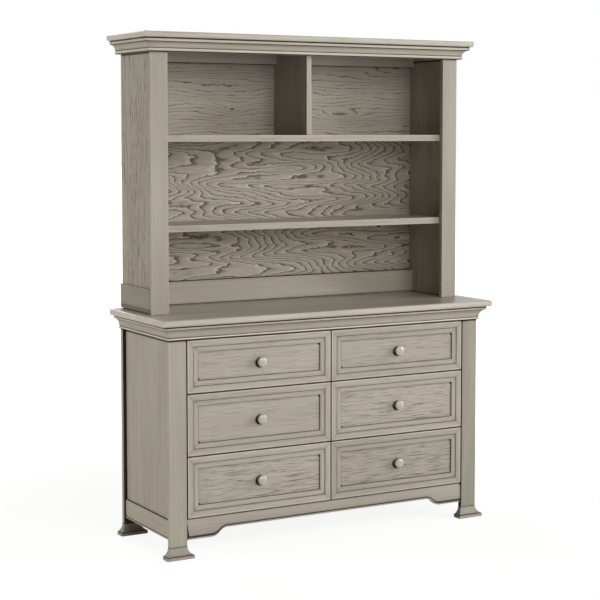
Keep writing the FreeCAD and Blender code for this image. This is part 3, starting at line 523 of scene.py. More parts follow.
def wood(name, light, dark, figure, above=None, drift=0.35, mottle=0.05, grain_axis=None, roughness=0.5,
         glaze_depth=0.96, specular=0.12, coat=0.0):
    """Stained wood: rings, fine streaks and pores stretched along the grain, a warm and a cool drift of the
    stain, the tone of each board, and dark glaze near joints. above is a second figure, for points whose own
    figure is 0."""
    shader = new_shader(name)
    place = board_grain(shader, grain_axis)
    own = grain_axis is None
    strength = shader.attribute("figure").outputs["Fac"] if own else 1.0

    shade = shader.times(ring_shade(shader, place, figure), figure.rings)
    if above:
        other = shader.times(ring_shade(shader, place, above), above.rings)
        mixed = shader.node("ShaderNodeMix", {0: strength, 2: other, 3: shade})
        shade = mixed.outputs[0]
        strength = 1.0
    streak = shader.noise(shader.stretched(place, (3.0, 110.0, 110.0)), 4.0, 0.62)
    fine = shader.noise(shader.stretched(place, (1 / figure.pore[0], 1 / figure.pore[1], 1 / figure.pore[1])),
                        2.0, 0.6)
    pores = shader.ramp(fine, 0.54, 0.66)
    soft = shader.noise(shader.stretched(place, (2.2, 16.0, 16.0)), 3.0, 0.55)
    darkness = shader.add(shade, shader.times(pores, figure.pores))
    darkness = shader.times(darkness, strength)
    darkness = shader.add(darkness, shader.times(shader.math("SUBTRACT", streak, 0.42), figure.streaks * 4.0))
    darkness = shader.add(darkness, shader.times(shader.math("SUBTRACT", soft, 0.5), mottle * 5.0))
    stain = shader.mix(shader.math("MAXIMUM", darkness, 0.0, clamp=True), light, dark)
    lighter = shader.math("MINIMUM", shader.math("MAXIMUM", shader.times(darkness, -1.0), 0.0), 0.35)

    if drift > 0.0:
        hue = shader.noise(shader.stretched(place, (3.0, 9.0, 9.0)), 1.0, 0.5)
        tint = shader.mix(shader.ramp(hue, 0.38, 0.62), tuple(finish().ash_warm), tuple(finish().ash_cool))
        tint = shader.mix(1.0, tint, tuple(1.0 / value for value in finish().ash), "MULTIPLY")
        stain = shader.mix(drift, stain, shader.mix(1.0, stain, tint, "MULTIPLY"))
    if own:
        level = shader.add(shader.add(shader.attribute("tone").outputs["Fac"], 1.0), lighter)
        grey = shader.node("ShaderNodeCombineColor", {0: level, 1: level, 2: level}).outputs[0]
        stain = shader.mix(1.0, stain, grey, "MULTIPLY")
        rim = shader.attribute("rim").outputs["Fac"]
        # dark glaze in joints and quirks; the same colour paints shade in gaps, under mouldings and round knobs
        glaze_and_painted_shade = shader.ramp(rim, 0.0004, 0.0020, 1.0, 0.0)
        # painted shade: a soft darkening that fades out over REACH from every joint and quirk
        soft_painted_shade = shader.ramp(rim, 0.0, REACH, 0.16, 0.0)
        cover = shader.math("MAXIMUM", shader.times(glaze_and_painted_shade, glaze_depth), soft_painted_shade, clamp=True)
        stain = shader.mix(cover, stain, tuple(finish().glaze))

    height = shader.math("MULTIPLY", darkness, -1.0)
    bump = shader.node("ShaderNodeBump", {"Height": height, "Strength": 0.35, "Distance": 0.0004}).outputs[0]
    rough = shader.add(shader.times(darkness, 0.15), roughness)
    surface = shader.node("ShaderNodeBsdfPrincipled", {"Base Color": stain, "Roughness": rough, "Normal": bump,
                                                       "Specular IOR Level": specular})
    if coat:
        surface.inputs["Coat Weight"].default_value = coat
        surface.inputs["Coat Roughness"].default_value = 0.16
        surface.inputs["Coat IOR"].default_value = 1.7
    return shader.output(surface.outputs[0])


def metal(name, base, roughness):
    """Plated steel with a fine cloudiness."""
    shader = new_shader(name)
    place = shader.node("ShaderNodeTexCoord").outputs["Object"]
    cloud = shader.noise(shader.stretched(place, (60.0, 9.0, 60.0)), 3.0, 0.6)
    shade = shader.mix(shader.ramp(cloud, 0.3, 0.7), tuple(0.82 * value for value in base), base)
    rough = shader.ramp(cloud, 0.2, 0.8, roughness - 0.06, roughness + 0.08)
    bump = shader.node("ShaderNodeBump", {"Height": cloud, "Strength": 0.1, "Distance": 0.0002}).outputs[0]
    surface = shader.node("ShaderNodeBsdfPrincipled", {"Base Color": shade, "Roughness": rough, "Normal": bump,
                                                       "Metallic": 1.0})
    return shader.output(surface.outputs[0])


# plain-sawn sheet: tall flames below the upper shelf, fine waves and two knots above it
LOWER_FLAMES = Figure(0.20, 15.0, 0.58, 0.080, 1.25, line=0.24, fill=0.42, lime=0.26, lead=12.0, ragged=1.0,
                      broken=0.25, streaks=0.10, pores=0.15)
UPPER_WAVES = Figure(0.0135, 5.0, 0.38, 0.07, 0.95, line=0.16, fill=0.25, lime=0.06, ragged=0.8, broken=0.60,
                     streaks=0.12,
                     pores=0.10, knots=(((0.4385, 0.7475, 0.0), (0.040, 0.014), 3.5),
                                        ((0.9273, 0.7310, 0.0), (0.110, 0.018), 4.0)))


def finishes(name):
    """The finish of a name, made the first time it is asked for."""
    if name in bpy.data.materials:
        return bpy.data.materials[name]
    look = finish()
    ash, dark = tuple(look.ash), tuple(look.ash_dark)
    box, box_grain = tuple(look.box_wood), tuple(look.box_grain)
    bare, bare_grain = tuple(look.inner_wood), tuple(look.inner_grain)
    makers = {
        "post ash": lambda: wood(name, ash, dark, Figure(0.014, 2.5, 0.60, 0.05, 0.08, streaks=0.05),
                                 mottle=0.11),
        "rail ash": lambda: wood(name, ash, dark, Figure(0.014, 2.5, 0.50, 0.05, 0.10, streaks=0.07),
                                 mottle=0.10),
        "moulding ash": lambda: wood(name, ash, dark, Figure(0.014, 2.5, 0.50, 0.05, 0.08, streaks=0.10),
                                     mottle=0.10),
        "side panel ash": lambda: wood(name, ash, dark, Figure(0.020, 5.0, 0.55, 0.07, 0.85, line=0.20,
                                                               fill=0.32, ragged=0.8, broken=0.85,
                                                               streaks=0.14, pores=0.50,
                                                               pore=(0.040, 0.0026)),
                                       drift=0.6, mottle=0.09),
        "top ash": lambda: wood(name, ash, dark, Figure(0.016, 3.0, 0.60, 0.08, 0.22, broken=0.7,
                                                        streaks=0.14), mottle=0.09, roughness=0.30,
                                specular=0.30),
        "shelf ash": lambda: wood(name, ash, dark, Figure(0.016, 3.0, 0.50, 0.07, 0.18, broken=0.7,
                                                          streaks=0.12), mottle=0.09, roughness=0.45),
        "drawer front ash": lambda: wood(name, ash, dark, Figure(0.0105, 2.5, 0.45, 0.05, 0.30, line=0.16,
                                                                 fill=0.25, broken=0.95, streaks=0.08,
                                                                 pores=1.0, pore=(0.085, 0.0021)),
                                         mottle=0.05),
        "knob ash": lambda: wood(name, ash, dark, Figure(0.006, 1.0, 0.10, 0.03, 0.10), roughness=0.34,
                                 coat=1.0),
        "back panel ash": lambda: wood(name, ash, dark, LOWER_FLAMES, UPPER_WAVES),
        "box wood": lambda: wood(name, box, box_grain, Figure(0.010, 3.0, 0.40, 0.05, 0.35), drift=0.0),
        "inner wood x": lambda: wood(name, bare, bare_grain, Figure(0.012, 4.0, 0.40, 0.06, 0.40), drift=0.0,
                                     grain_axis=X),
        "inner wood y": lambda: wood(name, bare, bare_grain, Figure(0.012, 4.0, 0.40, 0.06, 0.40), drift=0.0,
                                     grain_axis=Y),
        "back board": lambda: wood(name, tuple(look.back_board), bare_grain,
                                   Figure(0.030, 2.0, 0.30, 0.20, 0.05, pore=(0.006, 0.002)), drift=0.0,
                                   grain_axis=Z, roughness=0.75),
        "slide steel": lambda: metal(name, tuple(look.steel), 0.40),
        "plate steel": lambda: metal(name, tuple(0.80 * value for value in look.steel), 0.46),
    }
    return makers[name]()


# ---------------------------------------------------------------- case

def moulding_line():
    return span("top_moulding")[0][Z]


def foot_profile(height):
    """Block with a step on top, then a hollow that is upright where it meets the post."""
    size = sizes()
    neck = size.foot_flare - size.foot_step
    rise = height - size.foot_block
    radius = (neck ** 2 + rise ** 2) / (2.0 * neck)
    heights = np.linspace(size.foot_block, height, 12)
    hollow = np.stack([radius - np.sqrt(radius ** 2 - (height - heights) ** 2), heights], -1)
    block = [(0.0, 0.0), (size.foot_flare - 0.001, 0.0), (size.foot_flare, 0.001),
             (size.foot_flare, size.foot_block - 0.0015), (size.foot_flare - 0.0012, size.foot_block)]
    return np.concatenate([block, hollow])


def build_posts():
    """Two front posts and two back posts, upright boards on the feet."""
    # the two planes under the moulding keep a band of the dark glaze colour: painted shadow under the bead
    joints = [(Z, moulding_line() - 0.001), (Z, moulding_line() - 0.004), (Z, span("post_front_right")[0][Z])]
    for seed, side in enumerate(SIDES):
        low, high = span("post_front_" + side)
        inner = min(low[X], high[X], key=abs)
        tone = {"right": -0.20, "left": 0.05}[side]
        # the inner face, beside the drawers, takes the dark glaze colour: painted shade in the gap
        make_piece("front_post_" + side, [board(low, high, Z, joints + [(X, inner)], 3 + seed, tone)],
                   finishes("post ash"), "case", ["post_front_" + side])
    low, high = span("back_posts")
    width = np.ptp(np.stack(span("post_front_right")), 0)[X]
    # the front face of each back post takes the dark glaze colour: painted shade in the recess by the side panel
    joints.append((Y, low[Y]))
    # the back posts are a little darker: painted shade
    shells = [board((high[X] - width, low[Y], low[Z]), high, Z, joints, 5, -0.08),
              board(low, (low[X] + width, high[Y], high[Z]), Z, joints, 6, -0.08)]
    make_piece("rear_posts", shells, finishes("post ash"), "case", ["back_posts"])


def build_feet():
    """Four feet: a square block and a hollow neck round the foot of each post."""
    post_low, post_high = span("post_front_right")
    rear_low, rear_high = span("back_posts")
    height = post_low[Z]
    shells = []
    for seed, (front, back) in enumerate(((post_low[Y], post_high[Y]), (rear_low[Y], rear_high[Y]))):
        for turn in (1, -1):
            xs = sorted((turn * post_low[X], turn * post_high[X]))
            # the back feet are darker: painted shade under the case
            shells.append(wrapped_block((xs[0], front), (xs[1], back), foot_profile(height), (X, Z, Y),
                                        (height, foot_profile(height)[4, 1]), 10 + 2 * seed + turn,
                                        (0.0, -0.15)[seed], 0.7))
    make_piece("block_feet", shells, finishes("moulding ash"), "case", ["feet"])


def build_side_frames():
    """Upright panels, low rails with a bead along their lower edge, and high rails behind the moulding."""
    size = sizes()
    for seed, side in enumerate(SIDES):
        low, high = span("side_panel_" + side)
        # the band from 3 to 9 mm under the moulding takes the dark glaze colour: painted shadow under the bead
        joints = [(Y, low[Y]), (Y, high[Y]), (Z, low[Z]), (Z, moulding_line() - 0.003),
                  (Z, moulding_line() - 0.009)]
        make_piece("side_board_" + side, [board(low, high, Z, joints, 20 + seed, 0.06, 0.25)],
                   finishes("side panel ash"), "case", ["side_panel_" + side])
    low, high = span("side_rails")
    panel_low, panel_high = span("side_panel_right")
    thick = 0.020
    outer = high[X] - 0.005
    bead_top = low[Z] + size.bead
    face = outer - size.bead_out
    outline = [(outer - thick, low[Z]), (outer, low[Z]), (outer, bead_top), (face, bead_top),
               (face, bead_top + REACH), (face, panel_low[Z] - REACH), (face, panel_low[Z]),
               (outer - thick, panel_low[Z])]
    section = eased(outline, [0.001, 0.0025, 0.001, 0, 0, 0, 0.001, 0.001])
    rim = np.minimum(np.abs(section[:, 1] - bead_top), np.abs(section[:, 1] - panel_low[Z]))
    ends = [low[Y], low[Y] + REACH, high[Y] - REACH, high[Y]]
    origins = [(0.0, y, 0.0) for y in ends]
    rail = carried(section, origins, [(1, 0, 0)] * 4, [(0, 0, 1)] * 4, rim, [0, REACH, REACH, 0], 23, 0.12)
    behind = board((high[X] - thick, low[Y], panel_high[Z]), high, Y, seed=24)
    make_piece("side_frame_rails", [rail, mirror_x(rail), behind, mirror_x(behind)], finishes("rail ash"),
               "case", ["side_rails"])


def apron_line(x, low, high):
    """Height of the apron's lower edge: level, then two equal arcs that turn into each other, then level."""
    size = sizes()
    half_run = size.apron_ogee / 2.0
    half_rise = (high - low) / 2.0
    radius = (half_run ** 2 + half_rise ** 2) / (2.0 * half_rise)
    end = span("front_apron")[1][X] - size.apron_end
    along = np.clip(end - np.abs(x), 0.0, size.apron_ogee)
    first = low + radius - np.sqrt(radius ** 2 - np.minimum(along, half_run) ** 2)
    second = high - radius + np.sqrt(radius ** 2 - np.minimum(size.apron_ogee - along, half_run) ** 2)
    return np.where(along < half_run, first, second)


def build_apron():
    """Apron whose lower edge rises in two ogees, with a bead that follows it.

    The section is carried from side to side; its lower points follow the edge line, its upper ones stay."""
    size = sizes()
    low, high = span("front_apron")
    depth = high[Y] - low[Y]
    # (depth, height above the lower edge line), and whether a point follows that line
    outline = [(depth, 0.0), (0.0, 0.0), (0.0, size.bead), (size.bead_out, size.bead)]
    lower = eased(outline + [(size.bead_out, 0.05), (depth, 0.05)], [0.001, 0.0025, 0.001, 0.0, 0.0, 0.0])[:-2]
    upper = np.array([(size.bead_out, REACH), (size.bead_out, 0.0), (depth, 0.0)])
    end = high[X] - size.apron_end
    bend = np.linspace(end, end - size.apron_ogee, 17)
    xs = np.concatenate([[high[X], high[X] - REACH], bend])
    xs = np.concatenate([xs, -xs[::-1]])
    edge = apron_line(xs, size.apron_low, size.apron_high)
    points = np.empty((len(xs), len(lower) + len(upper), 3))
    points[..., 0] = xs[:, None]
    points[..., 1] = low[Y] + np.concatenate([lower[:, 0], upper[:, 0]])
    points[:, :len(lower), 2] = edge[:, None] + lower[:, 1]
    points[:, len(lower):, 2] = high[Z] - upper[:, 1]
    grain = points[..., [X, Z, Y]] + grain_shift(31)
    # the top front edge takes the dark glaze colour: painted shade in the gap under the lower drawers
    above = np.concatenate([np.abs(lower[:, 1] - size.bead), [REACH, 0.0004, REACH]])
    sideways = np.clip(high[X] - np.abs(xs), 0.0, REACH)
    rim = np.minimum(np.minimum(above, REACH)[None, :], sideways[:, None])
    shell = Shell(points.reshape(-1, 3), tube_faces(*points.shape[:2]), grain.reshape(-1, 3), rim.reshape(-1),
                  0.10, 0.8)
    make_piece("ogee_apron", [shell], finishes("rail ash"), "case", ["front_apron"])


def cornice_section(bottom, top, bead, quirk_out, hollow, fillet_out, fillet_height, shade, worn):
    """Outline of a moulding as (out, height): bead, quirk, hollow that leans outwards, and upright fillet; with
    the distance of each point from the nearest quirk, and its tone."""
    bead_height, bead_out = bead
    rise, foot_out, head_out, depth = hollow
    foot = np.array([foot_out, bottom + rise])
    head = np.array([head_out, top - fillet_height])
    run = (head - foot) / np.linalg.norm(head - foot)
    middle = (foot + head) / 2.0 + depth * np.array([-run[1], run[0]])
    bead_curve = arc((quirk_out, bottom), (bead_out, bottom + bead_height / 2.0),
                     (quirk_out, bottom + bead_height), 8)
    hollow_curve = arc(foot, middle, head, 12)
    fillet = eased([(head_out, head[1]), (fillet_out, head[1]), (fillet_out, head[1] + 0.0035),
                    (fillet_out, top - shade - 0.0022), (fillet_out, top - shade), (fillet_out, top), (head_out, top)],
                   [0, 0.0008, 0, 0, 0, 0.0006, 0])
    section = np.concatenate([[(0.0, bottom)], bead_curve, hollow_curve, fillet[1:-1], [(0.0, top)]])
    level = section[:, 1:]
    # bands of the rim: painted shadow under the bead, the quirk over the bead, the quirk at the hollow's head, and
    # painted shadow under the board on top, shade high
    low = np.array([[bottom, bottom + bead_height, head[1], top - shade]])
    high = np.array([[bottom + 0.0018, bottom + bead_height, head[1], top]])
    rim = np.maximum(np.maximum(low - level, level - high), 0.0).min(1)
    # bead and fillet are lighter: partly worn, partly a painted highlight where they face the light
    worn_and_lit = worn * (level[:, 0] < bottom + bead_height - 1e-5) + 1.8 * (level[:, 0] > head[1] + 1e-5)
    return section, rim, finish().wear * worn_and_lit


def cornice(name, node, half, front, outline, seed):
    """Three lengths of a moulding round the front and the sides, mitred at the front corners."""
    section, rim, tone = outline
    back = span(node)[1][Y]
    xs = np.array([-half, -half + REACH, half - REACH, half])
    outs = [(-1, -1, 0), (0, -1, 0), (0, -1, 0), (1, -1, 0)]
    near = 0.0014
    lengths = [carried(section, [(x, front, 0) for x in xs], outs, [(0, 0, 1)] * 4, rim,
                       [near, REACH, REACH, near], seed, tone)]
    for turn in (1, -1):
        ys = [front, front + REACH, back]
        lengths.append(carried(section, [(turn * half, y, 0) for y in ys],
                               [(turn, -1, 0), (turn, 0, 0), (turn, 0, 0)], [(0, 0, 1)] * 3, rim,
                               [near, REACH, REACH], seed + 1 + turn, tone))
    make_piece(name, lengths, finishes("moulding ash"), "case", [node])


def top_profile(low, high, out, lower_round, upper_round):
    """Edge of a top board as (out, height): a quarter round below and one above."""
    turn = np.radians(np.linspace(0.0, 90.0, 9))
    lower = np.stack([out - lower_round + lower_round * np.sin(turn), low + lower_round * (1 - np.cos(turn))], -1)
    upper = np.stack([out - upper_round + upper_round * np.cos(turn), high - upper_round * (1 - np.sin(turn))], -1)
    return np.concatenate([[(0.0, low)], lower, upper, [(0.0, high)]])


def edge_tones(profile):
    """The moulded edge of a top is a little lighter than its faces."""
    tones = np.full(len(profile), 1.4 * finish().wear)
    tones[[0, -1]] = 0.0
    return tones


def build_dresser_top():
    """Top board with a rounded edge, and the moulding under it."""
    size = sizes()
    low, high = span("dresser_top")
    post = span("post_front_right")
    half, front = post[1][X], post[0][Y]
    profile = top_profile(low[Z], high[Z], high[X] - half, size.top_lower, size.top_upper)
    # the underside of the top's edge takes the dark glaze colour: painted shadow under its overhang
    block = wrapped_block((-half, front), (half, high[Y]), profile, rim_heights=(low[Z],), seed=41,
                          tone=edge_tones(profile) + 0.02, figure=0.8)
    make_piece("case_top", [block], finishes("top ash"), "case", ["dresser_top"])
    bottom, top = span("top_moulding")[0][Z], span("top_moulding")[1][Z]
    outline = cornice_section(bottom, top, (0.009, 0.0074), 0.0045, (0.012, 0.006, 0.024, 0.0047), 0.028, 0.012,
                              0.004, 4.4)
    cornice("case_moulding", "top_moulding", half, front, outline, 43)


def build_inside():
    """Rails from side to side, and the bare and plain pieces inside the case."""
    low, high = span("cross_rails")
    post = span("post_front_right")
    inner = post[0][X]
    line = moulding_line()
    back_low = span("dresser_back")[0]
    thick = 0.020
    rails = [board((-inner, post[0][Y], line), (inner, post[1][Y], high[Z]), X, seed=51),
             board((-inner, back_low[Y] - thick, line), (inner, back_low[Y], high[Z]), X, seed=52),
             board((-inner, back_low[Y] - thick, low[Z]), (inner, back_low[Y], span("front_apron")[1][Z]), X,
                   seed=53)]
    partition = span("centre_partition")
    for row, below in (("middle", "lower"), ("upper", "middle")):
        height = (span(f"drawer_front_{row}_right")[0][Z] + span(f"drawer_front_{below}_right")[1][Z]) / 2.0
        rail = board((partition[1][X], partition[0][Y], height - 0.015),
                     (high[X], partition[0][Y] + 0.018, height + 0.015), X, seed=54)
        rails += [rail, mirror_x(rail)]
    make_piece("case_cross_rails", rails, finishes("rail ash"), "case", ["cross_rails"])
    plain = {"base_panel": "inner wood x", "centre_partition": "inner wood y", "runner_rails": "inner wood y",
             "dresser_back": "back board", "case_slides": "slide steel", "shelf_pins": "plate steel",
             "joining_plates": "plate steel"}
    for node, name in plain.items():
        coat(node, name)


def coat(node, name):
    """Gives a CAD node its finish."""
    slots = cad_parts[node].data.materials
    slots.clear()
    slots.append(finishes(name))


# ---------------------------------------------------------------- drawers

def frame_section():
    """Section of a drawer's frame as (inwards, depth): flat, quirk, gentle slope, lip, and rebate behind."""
    size = sizes()
    flat, width = size.frame_flat, size.frame_width
    thick = np.ptp(np.stack(span("drawer_front_lower_right")), 0)[Y]
    slope_start, slope_end = flat + size.quirk, width - size.lip_width
    tongue = width - size.panel_tongue
    outline = [(0.0, thick), (0.0, 0.017), (0.0, 0.007), (0.0, 0.0022), (0.0, 0.0), (0.004, 0.0), (0.007, 0.0),
               (flat - REACH, 0.0),
               (flat, 0.0),
               (flat, size.quirk_depth), (slope_start, size.quirk_depth), (slope_start, size.slope_set),
               (slope_start + REACH, size.slope_set + (size.lip_set - size.slope_set) * REACH
                / (slope_end - slope_start)), (slope_end, size.lip_set), (width, size.lip_set),
               (width, size.panel_set), (tongue, size.panel_set), (tongue, thick)]
    section = eased(outline, [0, 0, 0, 0, 0.0014, 0, 0, 0, 0.0005, 0, 0, 0.0004, 0, 0.0005, 0.0006, 0, 0, 0])
    inwards, depth = section.T
    quirk_gap = np.maximum(np.abs(inwards - flat - size.quirk / 2.0) - size.quirk / 2.0, 0.0) + 0.0009
    lip_gap = np.abs(inwards - width) + 0.0006
    # painted shade in the gaps between the drawers: the outer sides take the dark glaze colour to about 7 mm deep, and
    # the face a thin band beside them
    gap_shade = np.where((inwards < 0.0006) & (depth > 0.0004), np.maximum(depth - 0.007, 0.0), inwards + 0.0003)
    # the outer edge of the flat is lighter: partly worn, partly a painted highlight beside the gaps
    tone = 1.8 * finish().wear * ((inwards < 0.0045) & (depth < 0.002))
    return section, np.minimum.reduce([quirk_gap, lip_gap, gap_shade]), tone


def drawer_frame(low, high, seed, tone):
    """Four mitred lengths: the section is carried along each side of the front between slanting ends."""
    section, rim, worn = frame_section()
    corners = np.array([(low[X], low[Z]), (high[X], low[Z]), (high[X], high[Z]), (low[X], high[Z])])
    lengths = []
    for turn in range(4):
        start, end = corners[turn], corners[(turn + 1) % 4]
        along = (end - start) / np.linalg.norm(end - start)
        inward = np.array([-along[1], along[0]])
        step = along * REACH * math.sqrt(2.0)
        places = [start, start + step, end - step, end]
        slants = [inward + along, inward + along, inward - along, inward - along]
        lengths.append(carried(section, [(x, low[Y], z) for x, z in places], [(x, 0, z) for x, z in slants],
                               [(0, 1, 0)] * 4, rim, [0.0017, REACH, REACH, 0.0017], seed + turn,
                               worn + tone + (0.012, -0.012, 0.0, 0.01)[turn], 0.3))
    return lengths


# painted shadow of a knob on its panel, in the dark glaze colour, round and a little below its foot: (radius, reach)
# and distance from the joint
KNOB_SHADOW_RING = [(0.0004, -0.001), (0.0215, -0.001), (0.0216, 0.0001), (0.0195, 0.0002), (0.0175, 0.0002),
              (0.0004, 0.0002)]
KNOB_SHADOW_RIM = [REACH, REACH, REACH, 0.0012, 0.0, 0.0]
KNOB_SHADOW_DROP = 0.004


def build_drawer_fronts():
    """Six fronts: a mitred, moulded frame round a flat panel."""
    size = sizes()
    tones = {("upper", "left"): (0.13, 0.45), ("upper", "right"): (0.05, 0.5), ("middle", "left"): (0.10, 0.4),
             ("middle", "right"): (0.12, 0.9), ("lower", "left"): (0.15, 1.0), ("lower", "right"): (0.02, 1.0)}
    for number, ((row, side), (tone, figure)) in enumerate(tones.items()):
        node = f"drawer_front_{row}_{side}"
        low, high = span(node)
        edge = size.frame_width - size.panel_tongue
        joints = [(axis, low[axis] + size.frame_width) for axis in (X, Z)]
        joints += [(axis, high[axis] - size.frame_width) for axis in (X, Z)]
        panel_low = np.array([low[X] + edge, low[Y] + size.panel_set, low[Z] + edge])
        panel = board(panel_low, (high[X] - edge, high[Y], high[Z] - edge), X, joints, 60 + number, tone,
                      figure, near=0.0004)
        seat = np.array([(low[X] + high[X]) / 2.0, low[Y] + size.panel_set, (low[Z] + high[Z]) / 2.0])
        # painted shadow of the knob on the panel
        glaze_and_painted_shade = turned(KNOB_SHADOW_RING, seat - (0.0, 0.0, KNOB_SHADOW_DROP), tone=tone, figure=figure)
        glaze_and_painted_shade.grain = glaze_and_painted_shade.points[:, [X, Z, Y]] - panel_low[[X, Z, Y]] + grain_shift(60 + number)
        glaze_and_painted_shade.rim = np.repeat(KNOB_SHADOW_RIM, len(glaze_and_painted_shade.points) // len(KNOB_SHADOW_RIM))
        shells = drawer_frame(low, high, 70 + 5 * number, tone) + [panel, glaze_and_painted_shade]
        make_piece(f"front_{row}_{side}", shells, finishes("drawer front ash"), f"drawer_{row}_{side}", [node])


def knob_profile(radius):
    """Profile of a knob as (radius, reach): foot, thin neck, full round edge and a low dome."""
    size = sizes()
    reach, centre = size.knob_reach, 0.0004
    foot = [(centre, 0.0), (size.knob_foot - 0.0006, 0.0), (size.knob_foot, 0.0006), (size.knob_foot, 0.0022)]
    neck = arc((size.knob_foot - 0.0005, 0.0026), (size.knob_neck + 0.0008, 0.0055),
               (size.knob_neck + 0.0004, 0.0095), 6)
    under = arc((size.knob_neck + 0.0004, 0.0095), (radius * 0.78, 0.0127), (radius - 0.0010, 0.0166), 8)
    edge = arc((radius - 0.0010, 0.0166), (radius, 0.0195), (radius - 0.0042, 0.0247), 14)
    dome = arc((radius - 0.0042, 0.0247), (radius * 0.45, reach - 0.0006), (centre, reach), 12)
    return np.concatenate([foot, neck, under[1:], edge[1:], dome[1:]])


def screw_profile(radius, length_in):
    """Profile of a screw as (radius, reach): low rounded head, and its shank."""
    head = 0.0025
    cap = arc((0.0003, -head), (radius * 0.75, -head * 0.75), (radius, -0.0004), 6)
    return np.concatenate([cap, [(radius, 0.0), (0.002, 0.0), (0.002, length_in), (0.0003, length_in)]])


def build_knobs():
    """Six turned knobs, each with the screw that holds it from inside."""
    for number, (row, side) in enumerate((row, side) for row in ROWS for side in SIDES):
        node, body = f"drawer_knob_{row}_{side}", f"drawer_{row}_{side}"
        low, high = span(node)
        front_low, _ = span(f"drawer_front_{row}_{side}")
        centre = (low + high) / 2.0
        seat = front_low[Y] + sizes().panel_set
        # the back of each knob, to its widest round, takes the dark glaze colour: painted shade on its side away from
        # the lamps
        knob = turned(knob_profile((high[X] - low[X]) / 2.0), (centre[X], seat, centre[Z]), 100 + number, 0.16,
                      painted_shade_to=0.0200)
        make_piece(f"knob_{row}_{side}", [knob], finishes("knob ash"), body, [node], flats=False)
        inside = span(f"drawer_box_{row}_{side}")[0][Y] + sizes().box_wall
        screw = turned(screw_profile(0.004, inside - seat), (centre[X], inside, centre[Z]), around=24)
        make_piece(f"knob_screw_{row}_{side}", [screw], finishes("plate steel"), body, [node],
                   flats=False)


def build_drawer_boxes():
    """Six boxes: two sides, inner front, back and floor."""
    size = sizes()
    for number, (row, side) in enumerate((row, side) for row in ROWS for side in SIDES):
        node = f"drawer_box_{row}_{side}"
        low, high = span(node)
        wall, edge, seed = size.box_wall, size.box_edge, 120 + 6 * number
        inner_low, inner_high = low + (wall, wall, 0.0), high - (wall, wall, 0.0)
        floor = low[Z] + size.box_floor_rise
        corners = [(X, low[X]), (X, inner_low[X]), (X, inner_high[X]), (Y, inner_low[Y]), (Y, inner_high[Y])]
        shells = [
            board(low, (inner_low[X], high[Y], high[Z]), Y, seed=seed, edge=edge),
            board((inner_high[X], low[Y], low[Z]), high, Y, seed=seed + 1, edge=edge),
            board((inner_low[X], low[Y], low[Z]), (inner_high[X], inner_low[Y], high[Z]), X, corners[1:3],
                  seed + 2, edge=edge),
            board((inner_low[X], inner_high[Y], low[Z]), (inner_high[X], high[Y], high[Z]), X, corners[1:3],
                  seed + 3, edge=edge),
            board((inner_low[X], inner_low[Y], floor), (inner_high[X], inner_high[Y], floor + size.box_floor), X,
                  corners[1:], seed + 4, edge=0.0003),
        ]
        make_piece(f"box_{row}_{side}", shells, finishes("box wood"), f"drawer_{row}_{side}", [node])


def build_slides():
    """Steel slides of the drawers."""
    for row in ROWS:
        for side in SIDES:
            coat(f"drawer_slides_{row}_{side}", "slide steel")
            coat(f"middle_slides_{row}_{side}", "slide steel")


# ---------------------------------------------------------------- hutch

